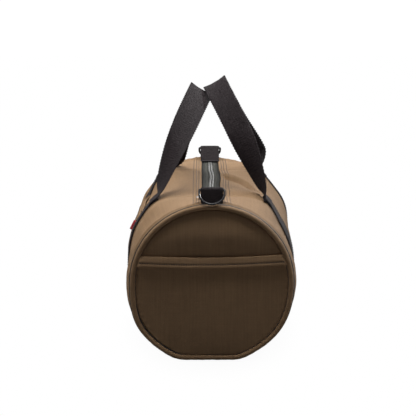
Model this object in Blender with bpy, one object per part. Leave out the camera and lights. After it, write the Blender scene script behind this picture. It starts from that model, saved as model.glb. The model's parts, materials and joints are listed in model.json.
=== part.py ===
"""Barrel shoulder bag in brown canvas, standing on the ground with its zip on top.

The bag's long axis is Y, its middle is over the origin and its base rests on z = 0. Every
cloth piece follows one outline, skin_point(), at its own depth under or over the canvas.
"""

import math

import bmesh
import bpy
from mathutils import Matrix, Vector

# The whole bag
BAG_LENGTH = 0.450
END_WIDTH = 0.240
END_HEIGHT = 0.234
SIDE_SWELL = 0.011
SWELL_LENGTH = 0.150
SWELL_POWER = 0.5
CENTRE_DROP = 0.003
BASE_SPREAD = 0.007
BASE_ROUNDING = 0.005
REST_LENGTH = 0.150
TOP_POWER = 2.0
TOP_POWER_GAIN = 0.4
BASE_POWER = 2.15
BASE_POWER_GAIN = 0.1
SHOULDER_LIFT = 0.008
SHOULDER_TURN_DEG = 36.0
SHOULDER_INNER_DEG = 26.0
SHOULDER_OUTER_DEG = 11.0
SHOULDER_FADE = 0.060

# Cloth, webbing and the clearance between sewn pieces
GAP = 0.0003
CANVAS_THICKNESS = 0.0016
LINING_THICKNESS = 0.0010
BINDING_THICKNESS = 0.0012
BINDING_WIDTH = 0.009
PIPING_DIAMETER = 0.007
BAND_THICKNESS = 0.0020
BAND_WIDTH = 0.038
BAND_FROM_END = 0.105

# Pockets and the bare cloth tab
END_POCKET_TOP = 0.1545
END_POCKET_HEM_WIDTH = 0.0125
TAB_REACH = 0.012
TAB_THICKNESS = 0.0010

# Handles
HANDLE_THICKNESS = 0.0024
HANDLE_EDGE_POWER = 1.7
HANDLE_TILT_DEG = 30.0
HANDLE_TWIST_POWER = 0.9
HANDLE_SLACK_POWERS = (1, 4)
RIGHT_HANDLE_TOP = (0.0052, 0.3885)
RIGHT_HANDLE_BOWS = (0.006, 0.008)
RIGHT_HANDLE_TWIST_RISES = (0.095, 0.050)
LEFT_HANDLE_TOP = (-0.0139, 0.3775)
LEFT_HANDLE_BOWS = (0.0055, -0.014)
LEFT_HANDLE_TWIST_RISES = (0.130, 0.035)

# Zip
ZIP_WIDTH = 0.028
ZIP_THICKNESS = 0.0010
ZIP_DROP = 0.0012
ZIP_SPLIT = 0.0015
COIL_WIDTH = 0.0022
COIL_HEIGHT = 0.0012
PARK_FROM_END = 0.074
SLIDER_LENGTH = 0.012
SLIDER_WIDTH = 0.0084
SLIDER_PLATE = 0.0010
SLIDER_FLANGE = 0.0009
POST_WIDTH = 0.0009
POST_LENGTH = 0.003
BAIL_LENGTH = 0.009
BAIL_WIDTH = 0.0018
BAIL_BAR = 0.0012
BAIL_OPENING = 0.0034
PULL_WIRE = 0.0013
PULL_RING_RADIUS = 0.0056
PULL_LEAF_LENGTH = 0.0205
PULL_LEAF_WIDTH = 0.0075
PULL_YAW_DEG = 40.0

# Webbing loops at the zip's ends and their D-rings
LOOP_WIDTH = 0.032
LOOP_THICKNESS = 0.0018
LOOP_FRONT_FOOT = 0.0093
LOOP_BACK_FOOT = 0.036
LOOP_TACK_LENGTH = 0.009
EYE_FROM_END = 0.0145
EYE_HEIGHT = 0.0206
DRING_WIRE = 0.0035
DRING_SIDE = 0.006
DRING_REST_DEG = 49.0

# Counts of facets
SKIN_STEPS = 52
SHOULDER_STEP = 4.4
POCKET_TOP_STEP = 45
POCKET_BOTTOM_STEP = 34
TAB_STEPS = (43.4, 44.5)
PIPING_SIDES = 8
HANDLE_STEPS = 44
ARC_STEPS = 12
WIRE_RESOLUTION = 2

# Shared values worked out from the sizes above
HALF_LENGTH = BAG_LENGTH / 2
STAND = GAP + BAND_THICKNESS
BODY_TOP = END_HEIGHT - STAND
END_CENTRE = END_HEIGHT / 2
PANEL_START = PIPING_DIAMETER + GAP
END_INSET = PIPING_DIAMETER - STAND + GAP
PATCH_OUT = GAP + CANVAS_THICKNESS
LINING_DEPTH = CANVAS_THICKNESS + GAP
BINDING_DEPTH = LINING_DEPTH + LINING_THICKNESS + GAP
ZIP_TOP = BODY_TOP - ZIP_DROP
ZIP_BOTTOM = ZIP_TOP - ZIP_THICKNESS
ZIP_EDGE = ZIP_WIDTH / 2 - GAP
COIL_BOTTOM = ZIP_TOP + GAP
COIL_TOP = COIL_BOTTOM + COIL_HEIGHT
ZIP_OPEN_START = PARK_FROM_END + SLIDER_LENGTH / 2 + 2 * GAP
ZIP_OPEN_HALF = HALF_LENGTH - ZIP_OPEN_START
BAIL_FLOOR = COIL_TOP + GAP + SLIDER_PLATE
BAIL_CENTRE = BAIL_FLOOR + BAIL_OPENING / 2
WIRE_RADIUS = DRING_WIRE / 2
EYE_RADIUS = WIRE_RADIUS + GAP + LOOP_THICKNESS / 2
DRING_RADIUS = LOOP_WIDTH / 2 + 2 * GAP + WIRE_RADIUS
NEAR_BAND = -HALF_LENGTH + BAND_FROM_END
FAR_BAND = HALF_LENGTH - BAND_FROM_END

# Finishes: colour, roughness, metallic
CANVAS = ("brown_canvas", (0.155, 0.108, 0.066), 0.9, 0.0)
LINING = ("grey_lining", (0.10, 0.10, 0.10), 0.85, 0.0)
WEBBING = ("black_webbing", (0.028, 0.024, 0.026), 0.8, 0.0)
ZIP_TAPE = ("charcoal_tape", (0.09, 0.09, 0.085), 0.75, 0.0)
COIL = ("zip_coil", (0.16, 0.16, 0.155), 0.45, 0.0)
NICKEL = ("nickel", (0.60, 0.60, 0.58), 0.25, 1.0)
BLACK_METAL = ("black_metal", (0.02, 0.018, 0.018), 0.3, 0.6)
RED_CLOTH = ("red_cloth", (0.36, 0.03, 0.04), 0.8, 0.0)


def clear_scene():
    for thing in list(bpy.data.objects):
        bpy.data.objects.remove(thing, do_unlink=True)


def finish_of(finish):
    name, colour, roughness, metallic = finish
    material = bpy.data.materials.get(name) or bpy.data.materials.new(name)
    material.use_nodes = True
    shader = material.node_tree.nodes["Principled BSDF"]
    shader.inputs["Base Color"].default_value = (*colour, 1.0)
    shader.inputs["Roughness"].default_value = roughness
    shader.inputs["Metallic"].default_value = metallic
    return material


def place(name, mesh_data, finish, pivot=None, carrier=None, smooth=True):
    """Adds the object with its origin on pivot, if one is given, and under its carrier."""
    thing = bpy.data.objects.new(name, mesh_data)
    bpy.context.scene.collection.objects.link(thing)
    mesh_data.materials.append(finish_of(finish))
    if pivot is not None:
        mesh_data.transform(Matrix.Translation(-pivot))
        thing.location = pivot
    if carrier is not None:
        bpy.context.view_layer.update()
        thing.parent = carrier
        thing.matrix_parent_inverse = carrier.matrix_world.inverted()
    if smooth and thing.type == "MESH":
        mesh_data.shade_smooth()
        mesh_data.set_sharp_from_angle(angle=math.radians(40))
    return thing


def add_piece(name, shape, finish, pivot=None, carrier=None, smooth=True):
    bmesh.ops.recalc_face_normals(shape, faces=shape.faces)
    mesh_data = bpy.data.meshes.new(name)
    shape.to_mesh(mesh_data)
    shape.free()
    return place(name, mesh_data, finish, pivot, carrier, smooth)


def ease(share):
    share = min(1.0, max(0.0, share))
    return share * share * (3.0 - 2.0 * share)


def rest_height(y):
    """Height of the canvas over the ground: the cloth sags to it between the two bands."""
    ramp = abs(NEAR_BAND) - BAND_WIDTH / 2 - REST_LENGTH / 2
    return STAND * ease((abs(y) - REST_LENGTH / 2) / ramp)


def sagged(z, ground):
    """Height z held up by the ground, with a rounded change between the two."""
    above = z - ground
    if above >= BASE_ROUNDING:
        return z
    if above <= -BASE_ROUNDING:
        return ground
    return ground + (above + BASE_ROUNDING) ** 2 / (4 * BASE_ROUNDING)


def shoulder(y, turn):
    """How far the handles pull the canvas up at their four feet."""
    from_top = abs(math.degrees(math.remainder(turn, 2 * math.pi)))
    past = from_top - SHOULDER_TURN_DEG
    round_share = past / SHOULDER_OUTER_DEG if past > 0 else -past / SHOULDER_INNER_DEG
    from_band = abs(abs(y) - FAR_BAND) - BAND_WIDTH / 2
    return SHOULDER_LIFT * ease(1 - round_share) * ease(1 - from_band / SHOULDER_FADE)


def skin_point(y, turn, offset=0.0):
    """Point of the bag's outline at y, turned from the top towards +X, and moved outwards."""
    swell = ease((HALF_LENGTH - abs(y)) / SWELL_LENGTH) ** SWELL_POWER
    half_width = END_WIDTH / 2 - STAND + SIDE_SWELL * swell
    centre = END_CENTRE - CENTRE_DROP * swell
    across = math.sin(turn)
    up = math.cos(turn)
    if up > 0:
        power = TOP_POWER + TOP_POWER_GAIN * swell
        height = BODY_TOP - centre
    else:
        power = BASE_POWER + BASE_POWER_GAIN * swell
        height = centre + BASE_SPREAD
    reach = (abs(across / half_width) ** power + abs(up / height) ** power) ** (-1 / power)
    x = reach * across
    z = reach * up
    normal = Vector(
        (
            math.copysign(abs(x / half_width) ** (power - 1) / half_width, x),
            0.0,
            math.copysign(abs(z / height) ** (power - 1) / height, z),
        )
    ).normalized()
    out = offset + shoulder(y, turn)
    return Vector((x + out * normal.x, y, sagged(centre + z + out * normal.z, rest_height(y) - offset)))


def edge_turn(y):
    """Turn at which the outline meets the zip's edge."""
    turn = 0.0
    for _ in range(6):
        radius = math.hypot(skin_point(y, turn).x, skin_point(y, turn).z - END_CENTRE)
        turn = math.asin(ZIP_WIDTH / 2 / radius)
    return turn


def step_turn(y, step):
    """Turn of one of the shared facet lines, counted from the zip's right edge round the base."""
    start = edge_turn(y)
    return start + (2 * math.pi - 2 * start) * step / SKIN_STEPS


def round_steps():
    """Facet lines all the way round, with one along the handles' feet on each side."""
    return sorted([*range(SKIN_STEPS + 1), SHOULDER_STEP, SKIN_STEPS - SHOULDER_STEP])


def skin_stations(start, end):
    """Places along Y at which the outline is drawn between start and end."""
    shared = [0.0]
    for side in (-1, 1):
        for place_on_side in (
            HALF_LENGTH - PANEL_START - BINDING_WIDTH,
            HALF_LENGTH - SWELL_LENGTH / 3,
            abs(NEAR_BAND) + BAND_WIDTH / 2,
            abs(NEAR_BAND),
            abs(NEAR_BAND) - BAND_WIDTH / 2,
            REST_LENGTH / 2,
            REST_LENGTH / 4,
        ):
            shared.append(side * place_on_side)
    inside = [y for y in sorted(shared) if start + 3 * GAP < y < end - 3 * GAP]
    return [start, *inside, end]


def wrap(stations, steps, inner, outer):
    """Closed panel that follows the outline between two depths, on the shared facet lines.

    Every quad is split along the same diagonal, so that panels on each other keep their gap.
    """
    shape = bmesh.new()
    rings = []
    for y in stations:
        ring = [shape.verts.new(skin_point(y, step_turn(y, step), outer)) for step in steps]
        ring += [
            shape.verts.new(skin_point(y, step_turn(y, step), inner)) for step in reversed(steps)
        ]
        rings.append(ring)
    half = len(steps)
    for first, second in zip(rings, rings[1:]):
        for index in range(len(first)):
            after = (index + 1) % len(first)
            corners = [first[index], first[after], second[after], second[index]]
            if index >= half:
                corners = corners[1:] + corners[:1]
            shape.faces.new(corners[:3])
            shape.faces.new((corners[2], corners[3], corners[0]))
    for ring in (rings[0], rings[-1]):
        for index in range(half - 1):
            inside = 2 * half - 1 - index
            shape.faces.new((ring[index], ring[index + 1], ring[inside - 1], ring[inside]))
    return shape


def round_turns(y):
    """The shared facet lines carried on over the top, for pieces that go all the way round."""
    return [step_turn(y, step) for step in range(SKIN_STEPS + 1)] + [2 * math.pi]


def closed_ring(profile, y_of, y_outline):
    """Ring whose profile is a list of (depth along Y, offset) pairs, closed on itself."""
    shape = bmesh.new()
    rows = []
    for turn in round_turns(y_outline):
        row = []
        for depth, offset in profile:
            point = skin_point(y_outline, turn, offset)
            row.append(shape.verts.new((point.x, y_of(depth), point.z)))
        rows.append(row)
    for first, second in zip(rows, rows[1:] + rows[:1]):
        for index in range(len(first)):
            after = (index + 1) % len(first)
            shape.faces.new((first[index], first[after], second[after], second[index]))
    return shape


def end_disc(y_front, y_back, inset, y_outline):
    """Flat panel that fills an end inside its piping."""
    shape = bmesh.new()
    caps = []
    for y in (y_front, y_back):
        cap = []
        for turn in round_turns(y_outline):
            point = skin_point(y_outline, turn, -inset)
            cap.append(shape.verts.new((point.x, y, point.z)))
        caps.append(cap)
        shape.faces.new(cap)
    for index in range(len(caps[0])):
        after = (index + 1) % len(caps[0])
        shape.faces.new((caps[0][index], caps[0][after], caps[1][after], caps[1][index]))
    return shape


def cut_level(shape, z, keep_below):
    """Cuts a piece flat at height z and closes it."""
    everything = shape.verts[:] + shape.edges[:] + shape.faces[:]
    cut = bmesh.ops.bisect_plane(
        shape,
        geom=everything,
        plane_co=(0, 0, z),
        plane_no=(0, 0, 1),
        clear_outer=keep_below,
        clear_inner=not keep_below,
    )
    rim = [item for item in cut["geom_cut"] if isinstance(item, bmesh.types.BMEdge)]
    bmesh.ops.holes_fill(shape, edges=rim)


def block(low, high):
    """Box between two corners."""
    shape = bmesh.new()
    bmesh.ops.create_cube(shape, size=1.0)
    middle = (Vector(low) + Vector(high)) / 2
    size = Vector(high) - Vector(low)
    bmesh.ops.scale(shape, vec=size, verts=shape.verts)
    bmesh.ops.translate(shape, vec=middle, verts=shape.verts)
    return shape


def extrusion(outline, start, direction):
    """Solid whose end face is the outline, moved to start, and which runs along direction."""
    shape = bmesh.new()
    face = shape.faces.new([shape.verts.new(Vector(point) + Vector(start)) for point in outline])
    grown = bmesh.ops.extrude_face_region(shape, geom=[face], use_keep_orig=True)
    moved = [item for item in grown["geom"] if isinstance(item, bmesh.types.BMVert)]
    bmesh.ops.translate(shape, vec=Vector(direction), verts=moved)
    return shape


def merge(name, shapes, finish, pivot=None, carrier=None):
    """One solid from shapes that overlap, by a Boolean union of each with the first."""
    main = add_piece(name, shapes[0], finish, pivot, carrier, smooth=False)
    for number, shape in enumerate(shapes[1:], start=1):
        helper = add_piece(f"{name}_adds_{number}", shape, finish, smooth=False)
        helper.hide_render = True
        helper.display_type = "WIRE"
        union = main.modifiers.new(f"join_{number}", "BOOLEAN")
        union.operation = "UNION"
        union.solver = "EXACT"
        union.object = helper
    return main


def wire_piece(name, points, radius, finish, pivot=None, carrier=None, closed=True):
    """Round wire along a list of points."""
    line = bpy.data.curves.new(name, "CURVE")
    line.dimensions = "3D"
    line.bevel_depth = radius
    line.bevel_resolution = WIRE_RESOLUTION
    line.use_fill_caps = True
    spline = line.splines.new("POLY")
    spline.points.add(len(points) - 1)
    for spot, point in zip(spline.points, points):
        spot.co = (*(point - pivot if pivot is not None else point), 1.0)
    spline.use_cyclic_u = closed
    line.materials.append(finish_of(finish))
    thing = bpy.data.objects.new(name, line)
    bpy.context.scene.collection.objects.link(thing)
    if pivot is not None:
        thing.location = pivot
    if carrier is not None:
        bpy.context.view_layer.update()
        thing.parent = carrier
        thing.matrix_parent_inverse = carrier.matrix_world.inverted()
    return thing


def build_body():
    start = -HALF_LENGTH + PANEL_START
    panel = wrap(skin_stations(start, -start), round_steps(), -CANVAS_THICKNESS, 0.0)
    add_piece("body_panel", panel, CANVAS)
    lining_end = LINING_DEPTH + LINING_THICKNESS
    lining = wrap(skin_stations(start, -start), round_steps(), -lining_end, -LINING_DEPTH)
    add_piece("body_lining", lining, LINING)


def build_end(side, word):
    """Piping, panel, lining and seam binding of the end at side * HALF_LENGTH."""
    y_outline = side * HALF_LENGTH

    def y_of(depth):
        return side * (HALF_LENGTH - depth)

    radius = PIPING_DIAMETER / 2
    roll = []
    for number in range(PIPING_SIDES):
        angle = 2 * math.pi * (number + 0.5) / PIPING_SIDES
        reach = radius / math.cos(math.pi / PIPING_SIDES)
        roll.append((radius + reach * math.cos(angle), STAND - radius + reach * math.sin(angle)))
    add_piece(f"{word}_piping", closed_ring(roll, y_of, y_outline), CANVAS)

    binding = [
        (PANEL_START, -BINDING_DEPTH),
        (PANEL_START + BINDING_WIDTH, -BINDING_DEPTH),
        (PANEL_START + BINDING_WIDTH, -BINDING_DEPTH - BINDING_THICKNESS),
        (PANEL_START, -BINDING_DEPTH - BINDING_THICKNESS),
    ]
    add_piece(f"{word}_seam_binding", closed_ring(binding, y_of, y_outline), WEBBING)

    panel_front = 2 * (CANVAS_THICKNESS + GAP)
    panel_back = panel_front + CANVAS_THICKNESS
    panel = end_disc(y_of(panel_front), y_of(panel_back), END_INSET, y_outline)
    add_piece(f"{word}_end_panel", panel, CANVAS)
    lining_front = panel_back + GAP
    lining_back = lining_front + LINING_THICKNESS
    lining = end_disc(y_of(lining_front), y_of(lining_back), END_INSET, y_outline)
    add_piece(f"{word}_end_lining", lining, LINING)


def build_end_pocket():
    """Slip pocket over the lower part of the near end, with its folded hem."""
    y_outline = -HALF_LENGTH
    pocket_front = CANVAS_THICKNESS + GAP
    pocket_back = pocket_front + CANVAS_THICKNESS
    front = -HALF_LENGTH + pocket_front
    back = -HALF_LENGTH + pocket_back
    pocket = end_disc(front, back, END_INSET, y_outline)
    cut_level(pocket, END_POCKET_TOP, keep_below=True)
    add_piece("end_pocket_panel", pocket, CANVAS)
    hem = end_disc(-HALF_LENGTH, front - GAP, END_INSET, y_outline)
    cut_level(hem, END_POCKET_TOP, keep_below=True)
    cut_level(hem, END_POCKET_TOP - END_POCKET_HEM_WIDTH, keep_below=False)
    add_piece("end_pocket_hem", hem, CANVAS)


def build_bands():
    steps = [step for step in round_steps() if SHOULDER_STEP <= step <= SKIN_STEPS - SHOULDER_STEP]
    for word, middle in (("near", NEAR_BAND), ("far", FAR_BAND)):
        stations = [middle - BAND_WIDTH / 2, middle, middle + BAND_WIDTH / 2]
        add_piece(f"{word}_band", wrap(stations, steps, GAP, STAND), WEBBING)


def build_front_pocket():
    """Patch pocket on the -X side between the bands, with its hem and the bare tab."""
    start = NEAR_BAND + BAND_WIDTH / 2 + TAB_THICKNESS + 2 * GAP
    stations = skin_stations(start, -start)
    pocket_steps = list(range(POCKET_BOTTOM_STEP, POCKET_TOP_STEP + 1))
    add_piece("front_pocket_panel", wrap(stations, pocket_steps, GAP, PATCH_OUT), CANVAS)
    hem_steps = [POCKET_TOP_STEP - 1, POCKET_TOP_STEP]
    hem = wrap(stations, hem_steps, PATCH_OUT + GAP, PATCH_OUT + GAP + CANVAS_THICKNESS)
    add_piece("front_pocket_hem", hem, CANVAS)


def ribbon(centres, widths, thickness):
    """Flat webbing through centres, where widths holds half its width as a vector."""
    shape = bmesh.new()
    rows = []
    for index, (centre, half) in enumerate(zip(centres, widths)):
        before = centres[max(index - 1, 0)]
        after = centres[min(index + 1, len(centres) - 1)]
        along = (after - before).normalized()
        half = (half - along * half.dot(along)).normalized() * half.length
        normal = along.cross(half).normalized() * thickness / 2
        corners = (centre - half - normal, centre + half - normal)
        corners += (centre + half + normal, centre - half + normal)
        rows.append([shape.verts.new(corner) for corner in corners])
    for first, second in zip(rows, rows[1:]):
        for index in range(4):
            after = (index + 1) % 4
            shape.faces.new((first[index], first[after], second[after], second[index]))
    shape.faces.new(rows[0])
    shape.faces.new(rows[-1])
    return shape


def handle_pivot(side):
    """Point on the line a handle folds about, over the fuller edge of its bands' upper ends."""
    step = SHOULDER_STEP if side > 0 else SKIN_STEPS - SHOULDER_STEP
    fuller = NEAR_BAND + BAND_WIDTH / 2
    edge = skin_point(fuller, step_turn(fuller, step), STAND + GAP + HANDLE_THICKNESS / 2)
    return Vector((edge.x, 0.0, edge.z))


def build_handle(side, word, top, bows, twist_rises):
    """Carrying handle: webbing that leaves a band flat on the bag and turns through 90 degrees.

    bows and twist_rises hold one value for the near leg and one for the far leg.
    """
    pivot = handle_pivot(side)
    climb = Vector((top[0], 0.0, top[1])) - pivot
    outwards = Vector((side, 0.0, 0.0))
    tilt = math.radians(HANDLE_TILT_DEG) * side
    across = Vector((math.cos(tilt), 0.0, math.sin(tilt)))
    edge_power = 2 / HANDLE_EDGE_POWER
    centres = []
    widths = []
    for number in range(HANDLE_STEPS + 1):
        angle = math.pi * (1 - number / HANDLE_STEPS)
        along = math.copysign(abs(math.cos(angle)) ** edge_power, math.cos(angle))
        up = abs(math.sin(angle)) ** edge_power
        leg = 0 if along < 0 else 1
        power = HANDLE_SLACK_POWERS[leg]
        peak = power**power / (power + 1) ** (power + 1)
        centre = pivot + climb * up + outwards * bows[leg] * up * (1 - up) ** power / peak
        centre.y = FAR_BAND * along
        turned = min(1.0, up * climb.z / twist_rises[leg])
        twist = math.pi / 2 * turned**HANDLE_TWIST_POWER
        flat = Vector((0.0, math.copysign(math.cos(twist), along), 0.0))
        centres.append(centre)
        widths.append((flat + across * math.sin(twist)) * BAND_WIDTH / 2)
    add_piece(f"{word}_handle", ribbon(centres, widths, HANDLE_THICKNESS), WEBBING, pivot=pivot)


def coil_outline(side):
    """Half-round end face of one coil row, whose flat side is next to the split."""
    inner = ZIP_SPLIT / 2
    outline = [(side * inner, 0.0, COIL_BOTTOM), (side * inner, 0.0, COIL_TOP)]
    corner = COIL_HEIGHT / 2
    outline.append((side * (inner + COIL_WIDTH - corner), 0.0, COIL_TOP))
    outline.append((side * (inner + COIL_WIDTH), 0.0, COIL_TOP - corner))
    outline.append((side * (inner + COIL_WIDTH), 0.0, COIL_BOTTOM))
    return outline


def build_zip_half(side, word):
    """Half of the zip's tape, which folds up about its sewn edge, with its coil."""
    inner = side * ZIP_SPLIT / 2
    outer = side * ZIP_EDGE
    pivot = Vector((outer, 0.0, ZIP_TOP))
    low = (min(inner, outer), -ZIP_OPEN_HALF, ZIP_BOTTOM)
    high = (max(inner, outer), ZIP_OPEN_HALF, ZIP_TOP)
    tape = add_piece(f"zip_half_{word}", block(low, high), ZIP_TAPE, pivot=pivot, smooth=False)
    row = extrusion(coil_outline(side), (0, -ZIP_OPEN_HALF, 0), (0, 2 * ZIP_OPEN_HALF, 0))
    add_piece(f"zip_coil_{word}", row, COIL, pivot=pivot, carrier=tape)


def build_zip_end(side, word):
    """Sewn-down end of the tape, split where the slider parks, under the webbing loop."""

    def y_of(depth):
        return side * (HALF_LENGTH - depth)

    split = ZIP_SPLIT / 2
    fork = PARK_FROM_END - SLIDER_LENGTH
    finish = ZIP_OPEN_START - GAP
    outline = [
        (-ZIP_EDGE, y_of(PANEL_START), ZIP_BOTTOM),
        (ZIP_EDGE, y_of(PANEL_START), ZIP_BOTTOM),
        (ZIP_EDGE, y_of(finish), ZIP_BOTTOM),
        (split, y_of(finish), ZIP_BOTTOM),
        (split, y_of(fork), ZIP_BOTTOM),
        (-split, y_of(fork), ZIP_BOTTOM),
        (-split, y_of(finish), ZIP_BOTTOM),
        (-ZIP_EDGE, y_of(finish), ZIP_BOTTOM),
    ]
    tape = extrusion(outline, (0, 0, 0), (0, 0, ZIP_THICKNESS))
    add_piece(f"{word}_zip_end", tape, ZIP_TAPE, smooth=False)
    start = LOOP_BACK_FOOT + LOOP_TACK_LENGTH + GAP
    for across, hand in ((-1, "left"), (1, "right")):
        length = y_of(finish) - y_of(start)
        row = extrusion(coil_outline(across), (0, y_of(start), 0), (0, length, 0))
        add_piece(f"{word}_coil_end_{hand}", row, COIL)


def build_slider():
    """Zip slider: two plates round the coils, joined by a post that runs in the split."""
    y = -HALF_LENGTH + PARK_FROM_END
    half_length = SLIDER_LENGTH / 2
    half_width = SLIDER_WIDTH / 2
    under_top = ZIP_BOTTOM - GAP
    under = block(
        (-half_width, y - half_length, under_top - SLIDER_PLATE),
        (half_width, y + half_length, under_top),
    )
    over_bottom = COIL_TOP + GAP
    over = block(
        (-half_width, y - half_length, over_bottom),
        (half_width, y + half_length, BAIL_FLOOR),
    )
    post = block(
        (-POST_WIDTH / 2, y - POST_LENGTH / 2, under_top - SLIDER_PLATE / 2),
        (POST_WIDTH / 2, y + POST_LENGTH / 2, over_bottom + SLIDER_PLATE / 2),
    )
    flanges = []
    for side in (-1, 1):
        edges = sorted((side * half_width, side * (half_width - SLIDER_FLANGE)))
        flanges.append(
            block(
                (edges[0], y - half_length, ZIP_TOP + GAP),
                (edges[1], y + half_length, over_bottom + SLIDER_PLATE / 2),
            )
        )
    bail = bail_shape(y)
    slider = merge("zip_slider", [over, under, post, *flanges, bail], NICKEL)
    build_pull(y, slider)


def bail_shape(y):
    """Arch on the slider, along Y, that the pull's ring goes through."""
    half = BAIL_LENGTH / 2
    root = BAIL_FLOOR - SLIDER_PLATE / 2
    crown = BAIL_FLOOR + BAIL_OPENING
    top = crown + BAIL_BAR
    outline = [
        (-BAIL_WIDTH / 2, y - half, root),
        (-BAIL_WIDTH / 2, y - half, crown),
        (-BAIL_WIDTH / 2, y - half + BAIL_BAR, top),
        (-BAIL_WIDTH / 2, y + half - BAIL_BAR, top),
        (-BAIL_WIDTH / 2, y + half, crown),
        (-BAIL_WIDTH / 2, y + half, root),
        (-BAIL_WIDTH / 2, y + half - BAIL_BAR, root),
        (-BAIL_WIDTH / 2, y + half - BAIL_BAR, crown),
        (-BAIL_WIDTH / 2, y - half + BAIL_BAR, crown),
        (-BAIL_WIDTH / 2, y - half + BAIL_BAR, root),
    ]
    return extrusion(outline, (0, 0, 0), (BAIL_WIDTH, 0, 0))


def build_pull(y, slider):
    """Pull with a wire ring through the bail and a flat leaf, lying towards the near left."""
    pivot = Vector((0.0, y, BAIL_CENTRE))
    yaw = math.radians(PULL_YAW_DEG)
    ahead = Vector((-math.sin(yaw), -math.cos(yaw), 0.0))
    aside = Vector((-ahead.y, ahead.x, 0.0))
    up = Vector((0.0, 0.0, PULL_WIRE))
    centre = pivot + ahead * PULL_RING_RADIUS - up / 2
    outer = PULL_RING_RADIUS + PULL_WIRE / 2
    inner = PULL_RING_RADIUS - PULL_WIRE / 2
    ring = bmesh.new()
    rows = []
    for number in range(2 * ARC_STEPS):
        angle = math.pi * number / ARC_STEPS
        spoke = ahead * math.cos(angle) + aside * math.sin(angle)
        corners = (centre + spoke * inner, centre + spoke * outer)
        corners += (centre + spoke * outer + up, centre + spoke * inner + up)
        rows.append([ring.verts.new(corner) for corner in corners])
    for first, second in zip(rows, rows[1:] + rows[:1]):
        for index in range(4):
            after = (index + 1) % 4
            ring.faces.new((first[index], first[after], second[after], second[index]))
    start = centre + ahead * (PULL_RING_RADIUS + PULL_WIRE / 4)
    wide = aside * PULL_LEAF_WIDTH / 2
    narrow = wide / 2
    finish = start + ahead * PULL_LEAF_LENGTH
    taper = ahead * PULL_LEAF_WIDTH / 2
    outline = [start - narrow, start + narrow, start + taper + wide]
    outline += [finish - taper / 2 + wide, finish + narrow, finish - narrow]
    outline += [finish - taper / 2 - wide, start + taper - wide]
    leaf = extrusion(outline, (0, 0, 0), up)
    merge("zip_pull", [ring, leaf], NICKEL, pivot=pivot, carrier=slider)


def loop_path(y_of):
    """Middle of the loop's webbing: a tack, the back leg, the eye over the bar, the front leg."""
    base = BODY_TOP + GAP + LOOP_THICKNESS / 2
    eye = Vector((EYE_FROM_END, BODY_TOP + EYE_HEIGHT))
    back = Vector((LOOP_BACK_FOOT, base))
    front = Vector((LOOP_FRONT_FOOT, base))
    path = [Vector((LOOP_BACK_FOOT + LOOP_TACK_LENGTH, base)), back]
    angles = []
    for foot, sign in ((back, 1), (front, -1)):
        reach = foot - eye
        angle = math.atan2(reach.y, reach.x)
        angles.append(angle + sign * math.acos(EYE_RADIUS / reach.length))
    start = angles[0] % (2 * math.pi)
    end = angles[1] % (2 * math.pi)
    if end < start:
        end += 2 * math.pi
    for number in range(ARC_STEPS + 1):
        angle = start + (end - start) * number / ARC_STEPS
        path.append(eye + EYE_RADIUS * Vector((math.cos(angle), math.sin(angle))))
    path.append(front)
    return [Vector((0.0, y_of(point.x), point.y)) for point in path]


def build_loop(side, word):
    """Webbing loop over the zip's end, standing up to hold the D-ring's bar."""

    def y_of(depth):
        return side * (HALF_LENGTH - depth)

    centres = loop_path(y_of)
    half = Vector((LOOP_WIDTH / 2, 0.0, 0.0))
    shape = ribbon(centres, [half] * len(centres), LOOP_THICKNESS)
    add_piece(f"{word}_dring_loop", shape, WEBBING)

    pivot = Vector((0.0, y_of(EYE_FROM_END), BODY_TOP + EYE_HEIGHT))
    slant = math.radians(DRING_REST_DEG)
    down = Vector((0.0, side * math.cos(slant), -math.sin(slant)))
    across = Vector((1.0, 0.0, 0.0))
    points = [pivot - across * DRING_RADIUS, pivot + across * DRING_RADIUS]
    for number in range(ARC_STEPS + 1):
        angle = math.pi * number / ARC_STEPS
        bow = across * math.cos(angle) + down * math.sin(angle)
        points.append(pivot + down * DRING_SIDE + bow * DRING_RADIUS)
    wire_piece(f"{word}_dring", points, WIRE_RADIUS, BLACK_METAL, pivot=pivot)


def build_tab():
    """Small bare tab of red cloth that stands out between the near band and the pocket."""
    start = NEAR_BAND + BAND_WIDTH / 2 + GAP
    tab = wrap([start, start + TAB_THICKNESS], TAB_STEPS, 2 * GAP, GAP + TAB_REACH)
    add_piece("side_tab", tab, RED_CLOTH, smooth=False)


def main():
    clear_scene()
    build_body()
    for side, word in ((-1, "near"), (1, "far")):
        build_end(side, word)
        build_zip_end(side, word)
        build_loop(side, word)
    build_end_pocket()
    build_bands()
    build_front_pocket()
    build_tab()
    build_handle(1, "right", RIGHT_HANDLE_TOP, RIGHT_HANDLE_BOWS, RIGHT_HANDLE_TWIST_RISES)
    build_handle(-1, "left", LEFT_HANDLE_TOP, LEFT_HANDLE_BOWS, LEFT_HANDLE_TWIST_RISES)
    build_zip_half(-1, "left")
    build_zip_half(1, "right")
    build_slider()


main()
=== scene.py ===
"""Barrel shoulder bag: the canvas, webbing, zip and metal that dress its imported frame."""

import json
from bisect import bisect_left
from math import (
    acos, asin, atan2, copysign, cos, degrees, exp, hypot, pi, radians, remainder, sin)

import bmesh
import bpy
from mathutils import Matrix, Vector, noise


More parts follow.
